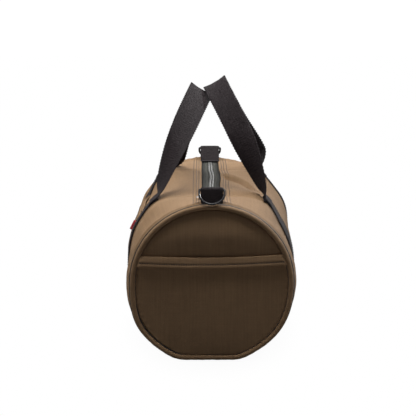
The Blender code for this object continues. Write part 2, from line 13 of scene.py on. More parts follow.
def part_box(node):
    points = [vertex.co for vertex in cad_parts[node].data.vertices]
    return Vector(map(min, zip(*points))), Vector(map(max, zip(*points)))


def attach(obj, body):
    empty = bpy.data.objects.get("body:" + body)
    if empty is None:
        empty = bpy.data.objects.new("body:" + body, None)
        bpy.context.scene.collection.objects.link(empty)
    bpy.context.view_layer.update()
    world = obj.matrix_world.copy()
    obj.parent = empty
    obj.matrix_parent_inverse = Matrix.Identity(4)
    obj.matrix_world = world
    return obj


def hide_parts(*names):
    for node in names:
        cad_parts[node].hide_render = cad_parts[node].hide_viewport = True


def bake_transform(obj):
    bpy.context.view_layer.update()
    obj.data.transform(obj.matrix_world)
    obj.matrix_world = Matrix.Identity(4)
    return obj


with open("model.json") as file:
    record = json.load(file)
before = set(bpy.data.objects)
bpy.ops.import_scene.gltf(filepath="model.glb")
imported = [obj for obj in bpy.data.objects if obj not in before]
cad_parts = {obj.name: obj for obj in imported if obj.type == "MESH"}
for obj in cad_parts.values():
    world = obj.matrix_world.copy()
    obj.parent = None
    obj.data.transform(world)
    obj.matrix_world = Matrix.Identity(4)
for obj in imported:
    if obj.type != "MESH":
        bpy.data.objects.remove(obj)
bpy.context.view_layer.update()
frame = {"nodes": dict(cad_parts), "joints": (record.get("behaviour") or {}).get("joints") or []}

bl_info = {
    "name": "Barrel Shoulder Bag",
    "version": (1, 0, 0),
    "blender": (4, 5, 0),
    "location": "View3D > Sidebar > Bag",
    "description": "Dresses a canvas barrel bag with sewn cloth, webbing, zip and rings",
    "category": "Add Mesh",
}

BAG = "bag"

# Sizes read from the frame
PIPING_LOW, PIPING_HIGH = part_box("near_piping")
HALF_LENGTH = -PIPING_LOW.y
PIPING_DEPTH = PIPING_HIGH.y - PIPING_LOW.y
END_HALF_WIDTH = PIPING_HIGH.x
END_HEIGHT = PIPING_HIGH.z
END_MIDDLE = END_HEIGHT / 2
ZIP_LOW, ZIP_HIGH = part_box("zip_half_right")
ZIP_TOP = ZIP_HIGH.z
ZIP_THICKNESS = ZIP_HIGH.z - ZIP_LOW.z
ZIP_EDGE = ZIP_HIGH.x
ZIP_SPLIT = ZIP_LOW.x
ZIP_OPEN_HALF = ZIP_HIGH.y
COIL_LOW, COIL_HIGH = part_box("zip_coil_right")
BAND_LOW, BAND_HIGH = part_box("near_band")
BAND_WIDTH = BAND_HIGH.y - BAND_LOW.y
BAND_HALF = BAND_WIDTH / 2
BAND_MIDDLE = -(BAND_LOW.y + BAND_HIGH.y) / 2
POCKET_LOW, POCKET_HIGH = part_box("front_pocket_panel")
HEM_LOW, HEM_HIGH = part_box("end_pocket_hem")
END_PANEL_LOW, END_PANEL_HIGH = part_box("near_end_panel")
LOOP_LOW, LOOP_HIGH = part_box("near_dring_loop")

# Outline of the canvas, as it is cut and filled
CLEARANCE = 0.0003
STAND = 0.0023
BODY_TOP = END_HEIGHT - STAND
SIDE_SWELL = 0.011
SWELL_LENGTH = 0.150
SWELL_POWER = 0.5
CENTRE_DROP = 0.003
BASE_SPREAD = 0.007
BASE_ROUNDING = 0.005
REST_HALF = 0.075
TOP_POWER = 2.0
TOP_POWER_GAIN = 0.4
BASE_POWER = 2.15
BASE_POWER_GAIN = 0.1
SHOULDER_LIFT = 0.008
SHOULDER_TURN_DEG = 36.0
SHOULDER_INNER_DEG = 26.0
SHOULDER_OUTER_DEG = 19.0
SHOULDER_FADE = 0.070
SKIN_STEPS = 52
SHOULDER_STEP = 4.4
BAND_TOP_SHARE = SHOULDER_STEP / SKIN_STEPS
TAU = 2 * pi

# How the filled canvas stands off that outline. Each settling is a height, a turn from the top
# and its reach. Each swell has a place along the bag and its length as well.
LEFT_SETTLING = (0.0040, 2.10, 0.30)
RIGHT_SETTLING = (-0.0042, 2.62, 0.34)
FAR_SHOULDER = (0.0048, 0.44, 0.24, 0.170, 0.065)
LEFT_SWELLS = (
    (0.0050, 0.92, 0.30, -0.140, 0.045),
    (-0.0030, 0.95, 0.35, 0.010, 0.060),
    (-0.0075, 1.08, 0.32, 0.095, 0.048),
    (0.0025, 1.00, 0.35, 0.178, 0.030),
    FAR_SHOULDER,
)
RIGHT_SWELLS = (
    (-0.0035, 1.12, 0.28, -0.140, 0.050),
    (0.0075, 1.05, 0.40, 0.110, 0.065),
    FAR_SHOULDER,
)
FLANK_TURN, FLANK_REACH = 1.72, 0.62
LEFT_FLANK = (0.0040, 0.0030)
RIGHT_FLANK = (0.0030, 0.0036)
PUFF_PLACE, PUFF_LENGTH = 0.190, 0.026
CINCH_LENGTH = 0.040
SOFT_WAVE, FINE_WAVE = 0.0014, 0.0005
BAND_HOLD = 0.035
BAND_PINCH, PINCH_REACH = 0.0013, 0.012
GROOVE_DEPTH, GROOVE_REACH = 0.0006, 0.0026
RIDGE_HEIGHT, RIDGE_FROM_END, RIDGE_REACH = 0.0034, 0.0140, 0.0055
PUCKER_DEPTH, PUCKER_REACH = 0.0003, 0.012
END_FADE = 0.006

# How the sewn zip strays from a straight line, and the canvas's double fold beside it
WANDER_MEAN, WANDER_SWING, WANDER_RATE = 0.0009, 0.0011, 34.0
WANDER_END_GAP, WANDER_REACH = 0.012, 0.040
HEM_STEP, HEM_STEP_AT, HEM_STEP_RUN = 0.0006, 0.0105, 0.0015
EDGE_ROLL, EDGE_ROLL_AT, EDGE_ROLL_REACH = 0.0007, 0.0012, 0.0016
ROW_DIP, ROW_REACH = 0.00035, 0.0012
STITCH_ROWS = (0.0045, 0.0083, 0.0128)

# Fold on the right shoulder, in turns from the top and lengths along the bag
FOLD_START, FOLD_SPAN = 0.15, 0.47
FOLD_PLACE, FOLD_LEAN = 0.038, 0.050
FOLD_HOOK, FOLD_HOOK_POWER = 0.080, 7
FOLD_NEAR_REACH, FOLD_FAR_REACH = 0.020, 0.0050
FOLD_RIDGE, FOLD_RIDGE_REACH = 0.0095, 0.013

# Cloth, seams and stitches
GIRTH = 0.74
CANVAS = 0.0016
LINING = 0.0008
WEBBING = 0.0020
SLOT_HALF = ZIP_EDGE + CLEARANCE
PANEL_HALF = HALF_LENGTH - PIPING_DEPTH - CLEARANCE
RIM_INSET = PIPING_DEPTH - STAND + CLEARANCE
SEAM_DEPTH = 0.0032
SEAM_SHARE = 0.017
STITCH_HALF_SHARE = 0.40
JOIN_GAP = 0.00002
LINING_GAP, LINING_WAVE = 0.0009, 0.0006
PIPING_FULLNESS, PIPING_LENGTH_FULLNESS, PIPING_SUNK = 1.12, 1.14, 0.0011
END_BULGE, BULGE_POWER = 0.0095, 2.2
BULGE_START, BULGE_RISE = -0.006, 0.046
END_WAVE, END_PUCKER = 0.0006, 0.0004
END_RIDGE, END_RIDGE_REACH = 0.0007, 0.004
BINDING_DEPTH = CANVAS + 4 * CLEARANCE + 0.0018
HEM_RISE, HEM_EXTRA, HEM_ROW = 0.0044, 0.0032, 0.0056
HEM_GAP, HEM_HALF = 0.0012, 0.0011
HEM_LEAN, HEM_DIP, HEM_DIP_REACH = 0.0024, 0.0009, 0.0013
MOUTH_SAG, MOUTH_HALF, MOUTH_SLOPE = 0.0035, 0.108, 0.010
POCKET_BULGE, POCKET_WAVE, POCKET_MOUTH = 0.00272, 0.0007, 0.0010
END_HEM_LENGTH = 0.216
EDGE_ROW = 0.0030
SIDE_GAPE = 0.0020
BAND_LENGTH = 0.60
SCALLOP_DEPTH, SCALLOP_PITCH = 0.00060, 0.0046
POCKET_BOTTOM_STEP, POCKET_TOP_STEP = 34, 45
SIDE_HEM_LENGTH = 0.22
TAB_STEP = 43.75
TAB_HALF = 0.0078
TAB_REACH = 0.0070

# Handles. Each has a near and a far leg, with how far it bows outwards and how slack it is, and
# the rise over which its webbing turns on edge.
HANDLE_WEBBING = 0.0023
HANDLE_TILT = radians(30.0)
TOP_INSET, TOP_DROP = 0.01705, 0.01054
ARCH_POWER = 2 / 1.7
RIGHT_BOWS, RIGHT_TWIST_RISES = ((0.006, 1), (0.010, 4)), (0.095, 0.034)
LEFT_BOWS, LEFT_TWIST_RISES = ((0.0055, 1), (-0.009, 6)), (0.130, 0.026)
EARLY_TWIST = 0.07
FOOT_CUP, TOP_CUP = 0.0010, 0.0016
PATH_STEPS = 400
LEG_ROWS = (20, 60)
FOOT_ROWS = 10
FOOT_SHARE = 0.0185
FOOT_LIFT = 0.0012

# Zip, loops and D-rings
OPEN_COIL_FULLNESS, END_COIL_FULLNESS = 1.8, 0.96
TURN_SHARE = 0.46
COIL_STAGGER = 0.0004
SPLIT_START, SPLIT_RUN = 0.05, 0.004
LOOP_WEBBING = 0.0018
LOOP_FRONT_FOOT, LOOP_BACK_FOOT = 0.0093, 0.036
LOOP_TACK = 0.009
RING_WIRE = 0.00175
RING_SIDE = 0.006
RING_CORNER = 0.0022
RING_SLANT = radians(49.0)
BEND_STEPS, BOW_STEPS, CORNER_STEPS = 12, 30, 5

SIDES = (("left", -1), ("right", 1))
ENDS = (("near", -1), ("far", 1))


def pivot_of(joint_name):
    joint = next(joint for joint in frame["joints"] if joint["name"] == joint_name)
    return Vector(joint["pos_m"])


def length_field(name, description, default):
    return bpy.props.FloatProperty(
        name=name, description=description, default=default, unit="LENGTH", precision=5)


def colour_field(name, description, default):
    return bpy.props.FloatVectorProperty(
        name=name, description=description, subtype="COLOR", size=3, min=0.0, max=1.0,
        default=default)


class BagSizes(bpy.types.PropertyGroup):
    """Sizes of the finish, in metres."""

    thread_pitch: length_field("Canvas thread", "Spacing of the canvas threads", 0.0009)
    rib_pitch: length_field("Webbing rib", "Spacing of the ribs across the webbing", 0.0014)
    stitch_length: length_field("Stitch", "Length of one stitch and the space after it", 0.0036)
    thread_width: length_field("Sewing thread", "Width of the sewing thread", 0.0010)
    coil_pitch: length_field("Coil pitch", "Spacing of the zip coil's turns", 0.0021)
    crease_depth: length_field("Crease depth", "Depth of the right shoulder's fold", 0.0095)


class BagColours(bpy.types.PropertyGroup):
    """Colours of the finish, in linear light."""

    canvas: colour_field("Canvas", "Brown canvas", (0.207, 0.129, 0.069))
    webbing: colour_field("Webbing", "Black webbing", (0.0088, 0.0061, 0.0068))
    tape: colour_field("Zip tape", "Cloth tape of the zip", (0.028, 0.028, 0.024))
    coil: colour_field("Coil", "Coil of the zip", (0.075, 0.075, 0.067))
    thread: colour_field("Thread", "Sewing thread on the canvas", (0.014, 0.010, 0.007))
    tab: colour_field("Tab", "Bare side tab", (0.60, 0.080, 0.090))


class Value:
    """A shader socket that maths can be written on."""

    def __init__(self, recipe, socket):
        self.recipe = recipe
        self.socket = socket

    def maths(self, operation, *inputs):
        return self.recipe.node("ShaderNodeMath", {"operation": operation}, inputs)

    def __add__(self, other):
        return self.maths("ADD", self, other)

    __radd__ = __add__

    def __sub__(self, other):
        return self.maths("SUBTRACT", self, other)

    def __rsub__(self, other):
        return self.maths("SUBTRACT", other, self)

    def __mul__(self, other):
        return self.maths("MULTIPLY", self, other)

    __rmul__ = __mul__

    def sine(self):
        return self.maths("SINE", self)

    def size(self):
        return self.maths("ABSOLUTE", self)

    def most(self, other):
        return self.maths("MAXIMUM", self, other)

    def ramp(self, low, high):
        """0 below low and 1 above high, smooth between them."""
        return self.recipe.node(
            "ShaderNodeMapRange", {"interpolation_type": "SMOOTHSTEP"}, [self, low, high, 0.0, 1.0])


class Recipe:
    """The nodes of a material or world. Its looks are fed to the node called shader."""

    def __init__(self, owner, shader="Principled BSDF"):
        owner.use_nodes = True
        self.owner = owner
        self.tree = owner.node_tree
        self.shader = self.tree.nodes[shader]

    def node(self, kind, settings=None, inputs=(), output=0):
        made = self.tree.nodes.new(kind)
        for key, setting in (settings or {}).items():
            setattr(made, key, setting)
        pairs = inputs.items() if isinstance(inputs, dict) else enumerate(inputs)
        for key, given in pairs:
            self.feed(made.inputs[key], given)
        return Value(self, made.outputs[output])

    def feed(self, socket, given):
        if isinstance(given, Value):
            self.tree.links.new(given.socket, socket)
        elif hasattr(given, "__len__") and len(socket.default_value) == 4 and len(given) == 3:
            socket.default_value = (*given, 1.0)
        else:
            socket.default_value = given

    def set(self, **looks):
        for name, given in looks.items():
            self.feed(self.shader.inputs[name.replace("_", " ")], given)

    def mix(self, factor, first, second):
        settings = {"data_type": "RGBA", "blend_type": "MIX"}
        return self.node("ShaderNodeMix", settings, {0: factor, 6: first, 7: second}, output=2)

    def place_on_cloth(self):
        """Distances across and along the cloth, in metres."""
        place = self.node("ShaderNodeUVMap", {"uv_map": "cloth"})
        return [self.node("ShaderNodeSeparateXYZ", None, [place], output=axis) for axis in (0, 1)]

    def object_place(self):
        return self.node("ShaderNodeTexCoord", output="Object")

    def ray(self, kind):
        """1 where the ray is of that kind, and 0 elsewhere."""
        return self.node("ShaderNodeLightPath", output=f"Is {kind} Ray")

    def noise(self, place, scale, detail=2.0, roughness=0.5):
        inputs = {"Vector": place, "Scale": scale, "Detail": detail, "Roughness": roughness}
        return self.node("ShaderNodeTexNoise", None, inputs)

    def streaks(self, across, along, detail=2.0, roughness=0.5):
        """Noise on the cloth, with both ways already scaled to marks per metre."""
        place = self.node("ShaderNodeCombineXYZ", None, [across, along])
        return self.noise(place, 1.0, detail, roughness)

    def bump(self, height, distance, strength):
        inputs = {"Height": height, "Distance": distance, "Strength": strength}
        self.set(Normal=self.node("ShaderNodeBump", None, inputs))


def shades(colour, low, high):
    """Dark and light tone of a colour."""
    return tuple(low * part for part in colour), tuple(min(1.0, high * part) for part in colour)


def canvas_finish(name, colour, pitches=1.0, sheen=0.15):
    """Plain-woven cotton duck: threads both ways, streaks along them, and faint mottling."""
    recipe = Recipe(bpy.data.materials.new(name))
    pitch = bpy.context.scene.bag_sizes.thread_pitch * pitches
    across, along = recipe.place_on_cloth()
    warp = (across * (pi / pitch)).sine()
    weft = (along * (pi / pitch)).sine()
    picked = (warp * weft).ramp(-0.15, 0.15)
    threads = picked * warp.size() + (1.0 - picked) * weft.size()
    warp_streak = recipe.streaks(across * 420.0, along * 14.0, 4.0)
    weft_streak = recipe.streaks(across * 26.0, along * 900.0, 3.0)
    mottle = recipe.noise(recipe.object_place(), 26.0, 4.0, 0.6)
    tone = 0.09 + 0.30 * warp_streak + 0.18 * weft_streak + 0.20 * mottle + 0.14 * threads
    dark, light = shades(colour, 0.42, 1.5)
    recipe.set(Base_Color=recipe.mix(tone, dark, light), Roughness=0.81 + 0.1 * threads,
               Sheen_Weight=sheen, Sheen_Roughness=0.5, Sheen_Tint=light,
               Specular_IOR_Level=0.18)
    recipe.bump(threads + 0.9 * warp_streak + 0.7 * weft_streak, pitch * 0.35, 0.75)
    return recipe.owner


def webbing_finish(name, colour):
    """Heavy cotton webbing: ribs across it that lean each way, cords along it, and a painted
    highlight line near each edge.
    """
    recipe = Recipe(bpy.data.materials.new(name))
    pitch = bpy.context.scene.bag_sizes.rib_pitch
    across, along = recipe.place_on_cloth()
    lean = (across * (TAU / BAND_WIDTH)).sine() * 0.35 * pitch
    ribs = ((along + lean) * (pi / pitch)).sine().size()
    cords = (across * (pi / (pitch * 0.7))).sine().size()
    weave = ribs * (0.65 + 0.35 * cords)
    fibre = recipe.streaks(across * 1500.0, along * 500.0)
    slub = recipe.streaks(across * 620.0 + along * 300.0, along * 620.0)
    fade = recipe.noise(recipe.object_place(), 30.0, 3.0)
    from_edge = (across * (pi / BAND_WIDTH)).sine().size()
    # A lighter line near each edge is a painted highlight.
    painted_edge_highlight = from_edge.ramp(0.08, 0.14) * (1.0 - from_edge.ramp(0.16, 0.24))
    tone = 0.30 * weave + 0.25 * fibre + 0.30 * fade + 0.80 * painted_edge_highlight + 1.6 * (slub - 0.38)
    recipe.set(Base_Color=recipe.mix(tone, *shades(colour, 0.45, 1.85)),
               Roughness=1.17 - 0.14 * weave - 0.5 * slub,
               Sheen_Weight=0.04, Sheen_Roughness=0.45, Sheen_Tint=(0.55, 0.48, 0.48),
               Specular_IOR_Level=0.12)
    recipe.bump(weave + 0.35 * fibre + 2.5 * slub, pitch * 0.4, 0.9)
    return recipe.owner


def tape_finish(name, colour, pitch=0.0007):
    """Fine twill of the zip's tape, with a painted highlight on the cord along it and painted
    shadow at its outer edge, under the canvas fold.
    """
    recipe = Recipe(bpy.data.materials.new(name))
    across, along = recipe.place_on_cloth()
    twill = ((across * 0.6 + along) * (pi / pitch)).sine().size()
    streak = recipe.streaks(across * 520.0, along * 16.0, 3.0, 0.7)
    cord = across + 0.0006 * (along * 70.0).sine()
    # Painted highlight on the raised cord, and painted shadow where the canvas fold covers the
    # outer edge.
    painted_cord_highlight = cord.ramp(0.0042, 0.0060) * (1.0 - cord.ramp(0.0066, 0.0082))
    painted_fold_shadow = across.ramp(0.0095, 0.0125)
    tone = 0.18 * twill + 1.8 * streak - 0.60 + 0.85 * painted_cord_highlight - 0.4 * painted_fold_shadow
    recipe.set(Base_Color=recipe.mix(tone, *shades(colour, 0.5, 1.6)),
               Roughness=0.7 + 0.15 * streak, Specular_IOR_Level=0.08)
    recipe.bump(twill, pitch * 0.25, 0.6)
    return recipe.owner


def plain_finish(name, colour, roughness, metallic=0.0, grain=0.06, scale=900.0, shine=0.5):
    """Metal, nylon or thread: one colour, faint scratches or fibre, and uneven gloss."""
    recipe = Recipe(bpy.data.materials.new(name))
    place = recipe.object_place()
    fine = recipe.noise(place, scale, 3.0)
    shade = 0.35 * fine + 0.65 * recipe.noise(place, scale / 12.0)
    recipe.set(Base_Color=recipe.mix(shade, *shades(colour, 0.75, 1.25)), Metallic=metallic,
               Roughness=roughness + grain * (shade - 0.5), Specular_IOR_Level=shine)
    recipe.bump(fine, 0.00004, 0.4)
    return recipe.owner


# Finishes: maker, name of the material, its colour or the field that has it, and other values
THREAD = {"roughness": 0.75, "scale": 2500.0}
FINISHES = {
    "canvas": (canvas_finish, "brown_canvas", "canvas", {}),
    "lining": (canvas_finish, "grey_lining", (0.085, 0.085, 0.085), {"pitches": 0.5, "sheen": 0.1}),
    "webbing": (webbing_finish, "black_webbing", "webbing", {}),
    "tape": (tape_finish, "charcoal_tape", "tape", {}),
    "coil": (plain_finish, "nylon_coil", "coil", {"roughness": 0.42}),
    "thread": (plain_finish, "brown_thread", "thread", THREAD),
    "pale_thread": (plain_finish, "pale_brown_thread", (0.070, 0.044, 0.026), THREAD),
    "black_thread": (
        plain_finish, "black_thread", (0.016, 0.014, 0.015), {"roughness": 0.7, "scale": 2500.0}),
    "nickel": (plain_finish, "bright_nickel", (0.66, 0.65, 0.62),
               {"roughness": 0.24, "metallic": 1.0, "grain": 0.12}),
    "black_metal": (plain_finish, "black_coated_wire", (0.007, 0.006, 0.007),
                    {"roughness": 0.20, "grain": 0.08, "shine": 0.16}),
    "tab": (canvas_finish, "red_tab_cloth", "tab", {"pitches": 5 / 9, "sheen": 0.1}),
}
MADE = {}


def finish(name):
    """The material of that name, made the first time that it is asked for."""
    if name not in MADE:
        maker, title, colour, values = FINISHES[name]
        if isinstance(colour, str):
            colour = tuple(getattr(bpy.context.scene.bag_colours, colour))
        MADE[name] = maker(title, colour, **values)
    return MADE[name]


def ease(share):
    share = min(1.0, max(0.0, share))
    return share * share * (3.0 - 2.0 * share)


def bell(distance, width):
    return exp(-(distance / width) ** 2)


def signed_power(value, power):
    return copysign(abs(value) ** power, value)


def sagged(z, ground):
    """Height z held up by the ground, with a rounded change between the two."""
    above = z - ground
    if above >= BASE_ROUNDING:
        return z
    if above <= -BASE_ROUNDING:
        return ground
    return ground + (above + BASE_ROUNDING) ** 2 / (4 * BASE_ROUNDING)


def rest_height(y):
    ramp = BAND_MIDDLE - BAND_HALF - REST_HALF
    return STAND * ease((abs(y) - REST_HALF) / ramp)


def shoulder(y, turn):
    """How far the handles pull the canvas up at their four feet."""
    from_top = abs(degrees(remainder(turn, TAU)))
    past = from_top - SHOULDER_TURN_DEG
    round_share = past / SHOULDER_OUTER_DEG if past > 0 else -past / SHOULDER_INNER_DEG
    from_band = abs(abs(y) - BAND_MIDDLE) - BAND_HALF
    return SHOULDER_LIFT * ease(1 - round_share) * ease(1 - from_band / SHOULDER_FADE)


def settled(turn):
    """How far the filling has moved the outline low down, out on the left and in on the right."""
    height, middle, reach = LEFT_SETTLING if sin(turn) < 0 else RIGHT_SETTLING
    return height * bell(abs(remainder(turn, TAU)) - middle, reach)


def skin_frame(y, turn):
    """Point of the bag's plain outline at y and its outward direction."""
    swell = ease((HALF_LENGTH - abs(y)) / SWELL_LENGTH) ** SWELL_POWER
    half_width = END_HALF_WIDTH - STAND + SIDE_SWELL * swell
    centre = END_MIDDLE - CENTRE_DROP * swell
    across, up = sin(turn), cos(turn)
    if up > 0:
        power = TOP_POWER + TOP_POWER_GAIN * swell
        height = BODY_TOP - centre
    else:
        power = BASE_POWER + BASE_POWER_GAIN * swell
        height = centre + BASE_SPREAD
    reach = (abs(across / half_width) ** power + abs(up / height) ** power) ** (-1 / power)
    x, z = reach * across, reach * up
    normal = Vector((
        signed_power(x / half_width, power - 1) / half_width,
        0.0,
        signed_power(z / height, power - 1) / height,
    )).normalized()
    moved = shoulder(y, turn) + settled(turn)
    return Vector((x, y, centre + z)) + normal * moved, normal


def rim_point(turn, offset):
    """Point of the plain outline at the far end, moved outwards by offset."""
    point, normal = skin_frame(HALF_LENGTH, turn)
    moved = point + normal * offset
    moved.z = sagged(moved.z, rest_height(HALF_LENGTH) - offset)
    return moved


def slot_turn(y):
    """Turn at which the outline meets the zip's edge."""
    turn = 0.0
    for _ in range(5):
        point, _ = skin_frame(y, turn)
        turn = asin(SLOT_HALF / hypot(point.x, point.z - END_MIDDLE))
    return turn


def share_turn(y, share):
    """Turn of a share of the way from the zip's right edge round the base to its left edge."""
    start = slot_turn(y)
    return start + (TAU - 2 * start) * share


def shoulder_fold(y, turn):
    """Long fold from the right handle's near foot towards the zip, and the ridge beyond it."""
    depth = bpy.context.scene.bag_sizes.crease_depth
    reach = max(0.0, (turn - FOLD_START) / FOLD_SPAN)
    past = y - (FOLD_PLACE - FOLD_LEAN * reach - FOLD_HOOK * reach ** FOLD_HOOK_POWER)
    strength = depth * ease(reach * 5 + 0.35) * ease((1.15 - reach) * 3)
    groove = bell(past, FOLD_NEAR_REACH if past < 0 else FOLD_FAR_REACH)
    return strength * (0.45 * bell(past - FOLD_RIDGE, FOLD_RIDGE_REACH) - groove)


def relief(y, turn):
    """How far the filled canvas stands off its plain outline: swells, creases and puckers."""
    from_end = HALF_LENGTH - abs(y)
    from_top = abs(remainder(turn, TAU))
    from_band = abs(abs(y) - BAND_MIDDLE)
    band_gap = from_band - BAND_HALF
    side, up = sin(turn), cos(turn)
    base = max(0.0, -up) ** 2
    soft = noise.noise(Vector((y * 14.0, up * 2.2, side * 2.2)))
    fine = noise.noise(Vector((y * 60.0, up * 9.0, side * 9.0)) + Vector((7, 3, 1)))
    height = (SOFT_WAVE * soft + FINE_WAVE * fine) * (0.35 + 0.65 * ease(band_gap / BAND_HOLD))
    if band_gap > 0:
        height -= BAND_PINCH * bell(band_gap, PINCH_REACH)
    for swell, middle, reach, place, length in LEFT_SWELLS if side < 0 else RIGHT_SWELLS:
        height += swell * bell(from_top - middle, reach) * bell(y - place, length)
    # Puffed between each end and its band, and drawn in under the bands
    flank = bell(from_top - FLANK_TURN, FLANK_REACH)
    puff, cinch = LEFT_FLANK if side < 0 else RIGHT_FLANK
    height += puff * flank * bell(abs(y) - PUFF_PLACE, PUFF_LENGTH)
    height -= cinch * flank * bell(from_band, CINCH_LENGTH)
    # Groove behind the piping, then a rounded ridge
    height -= GROOVE_DEPTH * bell(from_end - PIPING_DEPTH, GROOVE_REACH)
    height += RIDGE_HEIGHT * bell(from_end - RIDGE_FROM_END, RIDGE_REACH) * (1 - flank)
    if side > 0 and up > 0:
        height += shoulder_fold(y, turn)
    # Short puckers along the piping
    pucker = sin(turn * 58 + 3 * soft) * bell(from_end - PIPING_DEPTH, PUCKER_REACH)
    height += PUCKER_DEPTH * pucker * (1 - base)
    return height * (1 - ease(base * 3))


def wander(y):
    """How far the sewn zip strays from a straight line, towards the right."""
    share = min(1.0, abs(y) / (ZIP_OPEN_HALF - WANDER_END_GAP))
    stray = WANDER_MEAN + WANDER_SWING * sin(y * WANDER_RATE + 0.6)
    return stray * ease((1 - share) * 2.5)


def zip_fold(y, turn):
    """Canvas is folded double along the zip, and dips a little at each row of stitches."""
    point, _ = skin_frame(y, turn)
    if point.z < END_MIDDLE:
        return 0.0
    gap = abs(point.x) - SLOT_HALF
    height = HEM_STEP * (1 - ease((gap - HEM_STEP_AT) / HEM_STEP_RUN))
    height += EDGE_ROLL * bell(gap - EDGE_ROLL_AT, EDGE_ROLL_REACH)
    return height - sum(ROW_DIP * bell(gap - row, ROW_REACH) for row in STITCH_ROWS)


def cloth_point(y, turn, lift=0.0):
    """Point of the real canvas, with its relief, moved outwards by lift."""
    point, normal = skin_frame(y, turn)
    height = relief(y, turn) * ease((PANEL_HALF - abs(y)) / END_FADE + 0.15) + lift
    moved = point + normal * height
    if moved.z > END_MIDDLE and point.x > 0:
        moved.x += wander(y) * (1 - ease((abs(point.x) - SLOT_HALF) / WANDER_REACH))
    moved.z = sagged(moved.z, rest_height(y) - lift)
    return moved


def flat_weave(u, v, point):
    """Place on the cloth of a point on one of the bag's flat ends."""
    return point.x, point.z


def panel(columns, rows, place, weave, joined=""):
    """Cloth made from a flat grid whose points are laid out by place(u, v), u and v from 0 to 1.

    weave is the cloth's flat size, or gives the place on it from u, v and the point. joined is
    "seam" where edges of the grid meet, and "closed" where they close round a solid.
    """
    shape = bmesh.new()
    layer = shape.loops.layers.uv.new("cloth")
    bmesh.ops.create_grid(shape, x_segments=columns, y_segments=rows, size=0.5)
    for vert in shape.verts:
        u, v = vert.co.x + 0.5, vert.co.y + 0.5
        vert.co = place(u, v)
        on_cloth = weave(u, v, vert.co) if callable(weave) else (u * weave[0], v * weave[1])
        for loop in vert.link_loops:
            loop[layer].uv = on_cloth
    if joined:
        bmesh.ops.remove_doubles(shape, verts=shape.verts, dist=JOIN_GAP)
    if joined == "closed":
        open_edges = [edge for edge in shape.edges if edge.is_boundary]
        if open_edges:
            bmesh.ops.holes_fill(shape, edges=open_edges)
        bmesh.ops.recalc_face_normals(shape, faces=shape.faces)
    return shape


def add(name, shape, material, replaces=(), thickness=0.0, outward=None, body=BAG):
    """Adds the piece, turns its faces outwards and says what it rides on and stands for."""
    if outward is not None:
        shape.normal_update()
        turned = sum(face.normal.dot(outward(face.calc_center_median())) for face in shape.faces)
        if turned < 0:
            bmesh.ops.reverse_faces(shape, faces=shape.faces)
    mesh = bpy.data.meshes.new(name)
    shape.to_mesh(mesh)
    shape.free()
    mesh.materials.append(finish(material))
    mesh.shade_smooth()
    mesh.set_sharp_from_angle(angle=radians(50))
    piece = bpy.data.objects.new(name, mesh)
    bpy.context.scene.collection.objects.link(piece)
    if thickness:
        wall = piece.modifiers.new("wall", "SOLIDIFY")
        wall.thickness = thickness
        wall.offset = -1.0
        wall.use_even_offset = True
    if body:
        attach(piece, body)
    if replaces:
        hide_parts(*replaces)
    return piece


def turns_between(start, stop, steps):
    return [start + (stop - start) * number / steps for number in range(steps + 1)]


def from_axis(point):
    """Direction from the bag's long axis out through point."""
    return Vector((point.x, 0.0, point.z - END_MIDDLE))


def facing(x, y, z):
    """The same direction out of a flat piece at each of its points."""
    return lambda point: Vector((x, y, z))


def stitch(name, rows, length, out_at, material, width=None, lowest=0.0):
    """Stitches along rows, each a function that gives the point at a share of its length."""
    sizes = bpy.context.scene.bag_sizes
    width = width or sizes.thread_width
    half_length = sizes.stitch_length * STITCH_HALF_SHARE
    scaled = Matrix.Diagonal((half_length, width / 2, width / 2, 1.0))
    count = max(2, int(length / sizes.stitch_length))
    shape = bmesh.new()
    for row in rows:
        for number in range(count):
            share = (number + 0.5) / count
            here = row(share)
            if here.z <= lowest:
                continue
            along = row(min(1.0, share + 0.2 / count)) - row(max(0.0, share - 0.2 / count))
            along.normalize()
            side = out_at(here).cross(along).normalized()
            turned = Matrix((along, side, along.cross(side))).transposed().to_4x4()
            matrix = Matrix.Translation(here) @ turned @ scaled
            bmesh.ops.create_icosphere(shape, subdivisions=1, radius=1.0, matrix=matrix)
    add(name, shape, material)


class BAG_OT_barrel(bpy.types.Operator):
    """Canvas barrel with its folds, and its lining"""

    bl_idname = "bag.barrel"
    bl_label = "Barrel"

    def execute(self, context):
        def lining_lift(y, turn):
            fold = noise.noise(Vector((y * 40, cos(turn) * 6, sin(turn) * 6)))
            return -CANVAS - 3 * CLEARANCE - LINING_GAP + LINING_WAVE * fold

        add("body_canvas", self.barrel(zip_fold), "canvas", ["body_panel"], CANVAS, from_axis)
        add("barrel_lining", self.barrel(lining_lift), "lining", ["body_lining"], LINING,
            from_axis)
        for word, side in SIDES:
            rows = [self.sewn_row(row, side) for row in STITCH_ROWS]
            stitch(f"zip_stitching_{word}", rows, 2 * PANEL_HALF, from_axis, "pale_thread", 0.0013)
        return {"FINISHED"}

    def barrel(self, lift_at):
        """Panel round the barrel. Canvas and lining share its rows, so they fold alike."""
        def spread(u):
            """Columns close together beside the zip."""
            return u - 0.80 * sin(TAU * u) / TAU

        def along(v):
            """Rows close together at both ends, where the seams are."""
            return (v - 0.5 - 0.5 * cos(pi * v)) * PANEL_HALF

        def place(u, v):
            y = along(v)
            turn = share_turn(y, spread(u))
            return cloth_point(y, turn, lift_at(y, turn))

        return panel(190, 230, place, lambda u, v, point: (spread(u) * GIRTH, along(v)))

    def sewn_row(self, row, side):
        """Row of stitches at a distance from the zip's edge."""
        def point_at(share):
            y = (2 * share - 1) * (PANEL_HALF - 0.004)
            turn = slot_turn(y) * (SLOT_HALF + row) / SLOT_HALF
            turn = turn if side > 0 else TAU - turn
            return cloth_point(y, turn, zip_fold(y, turn) + 0.0001)

        return point_at


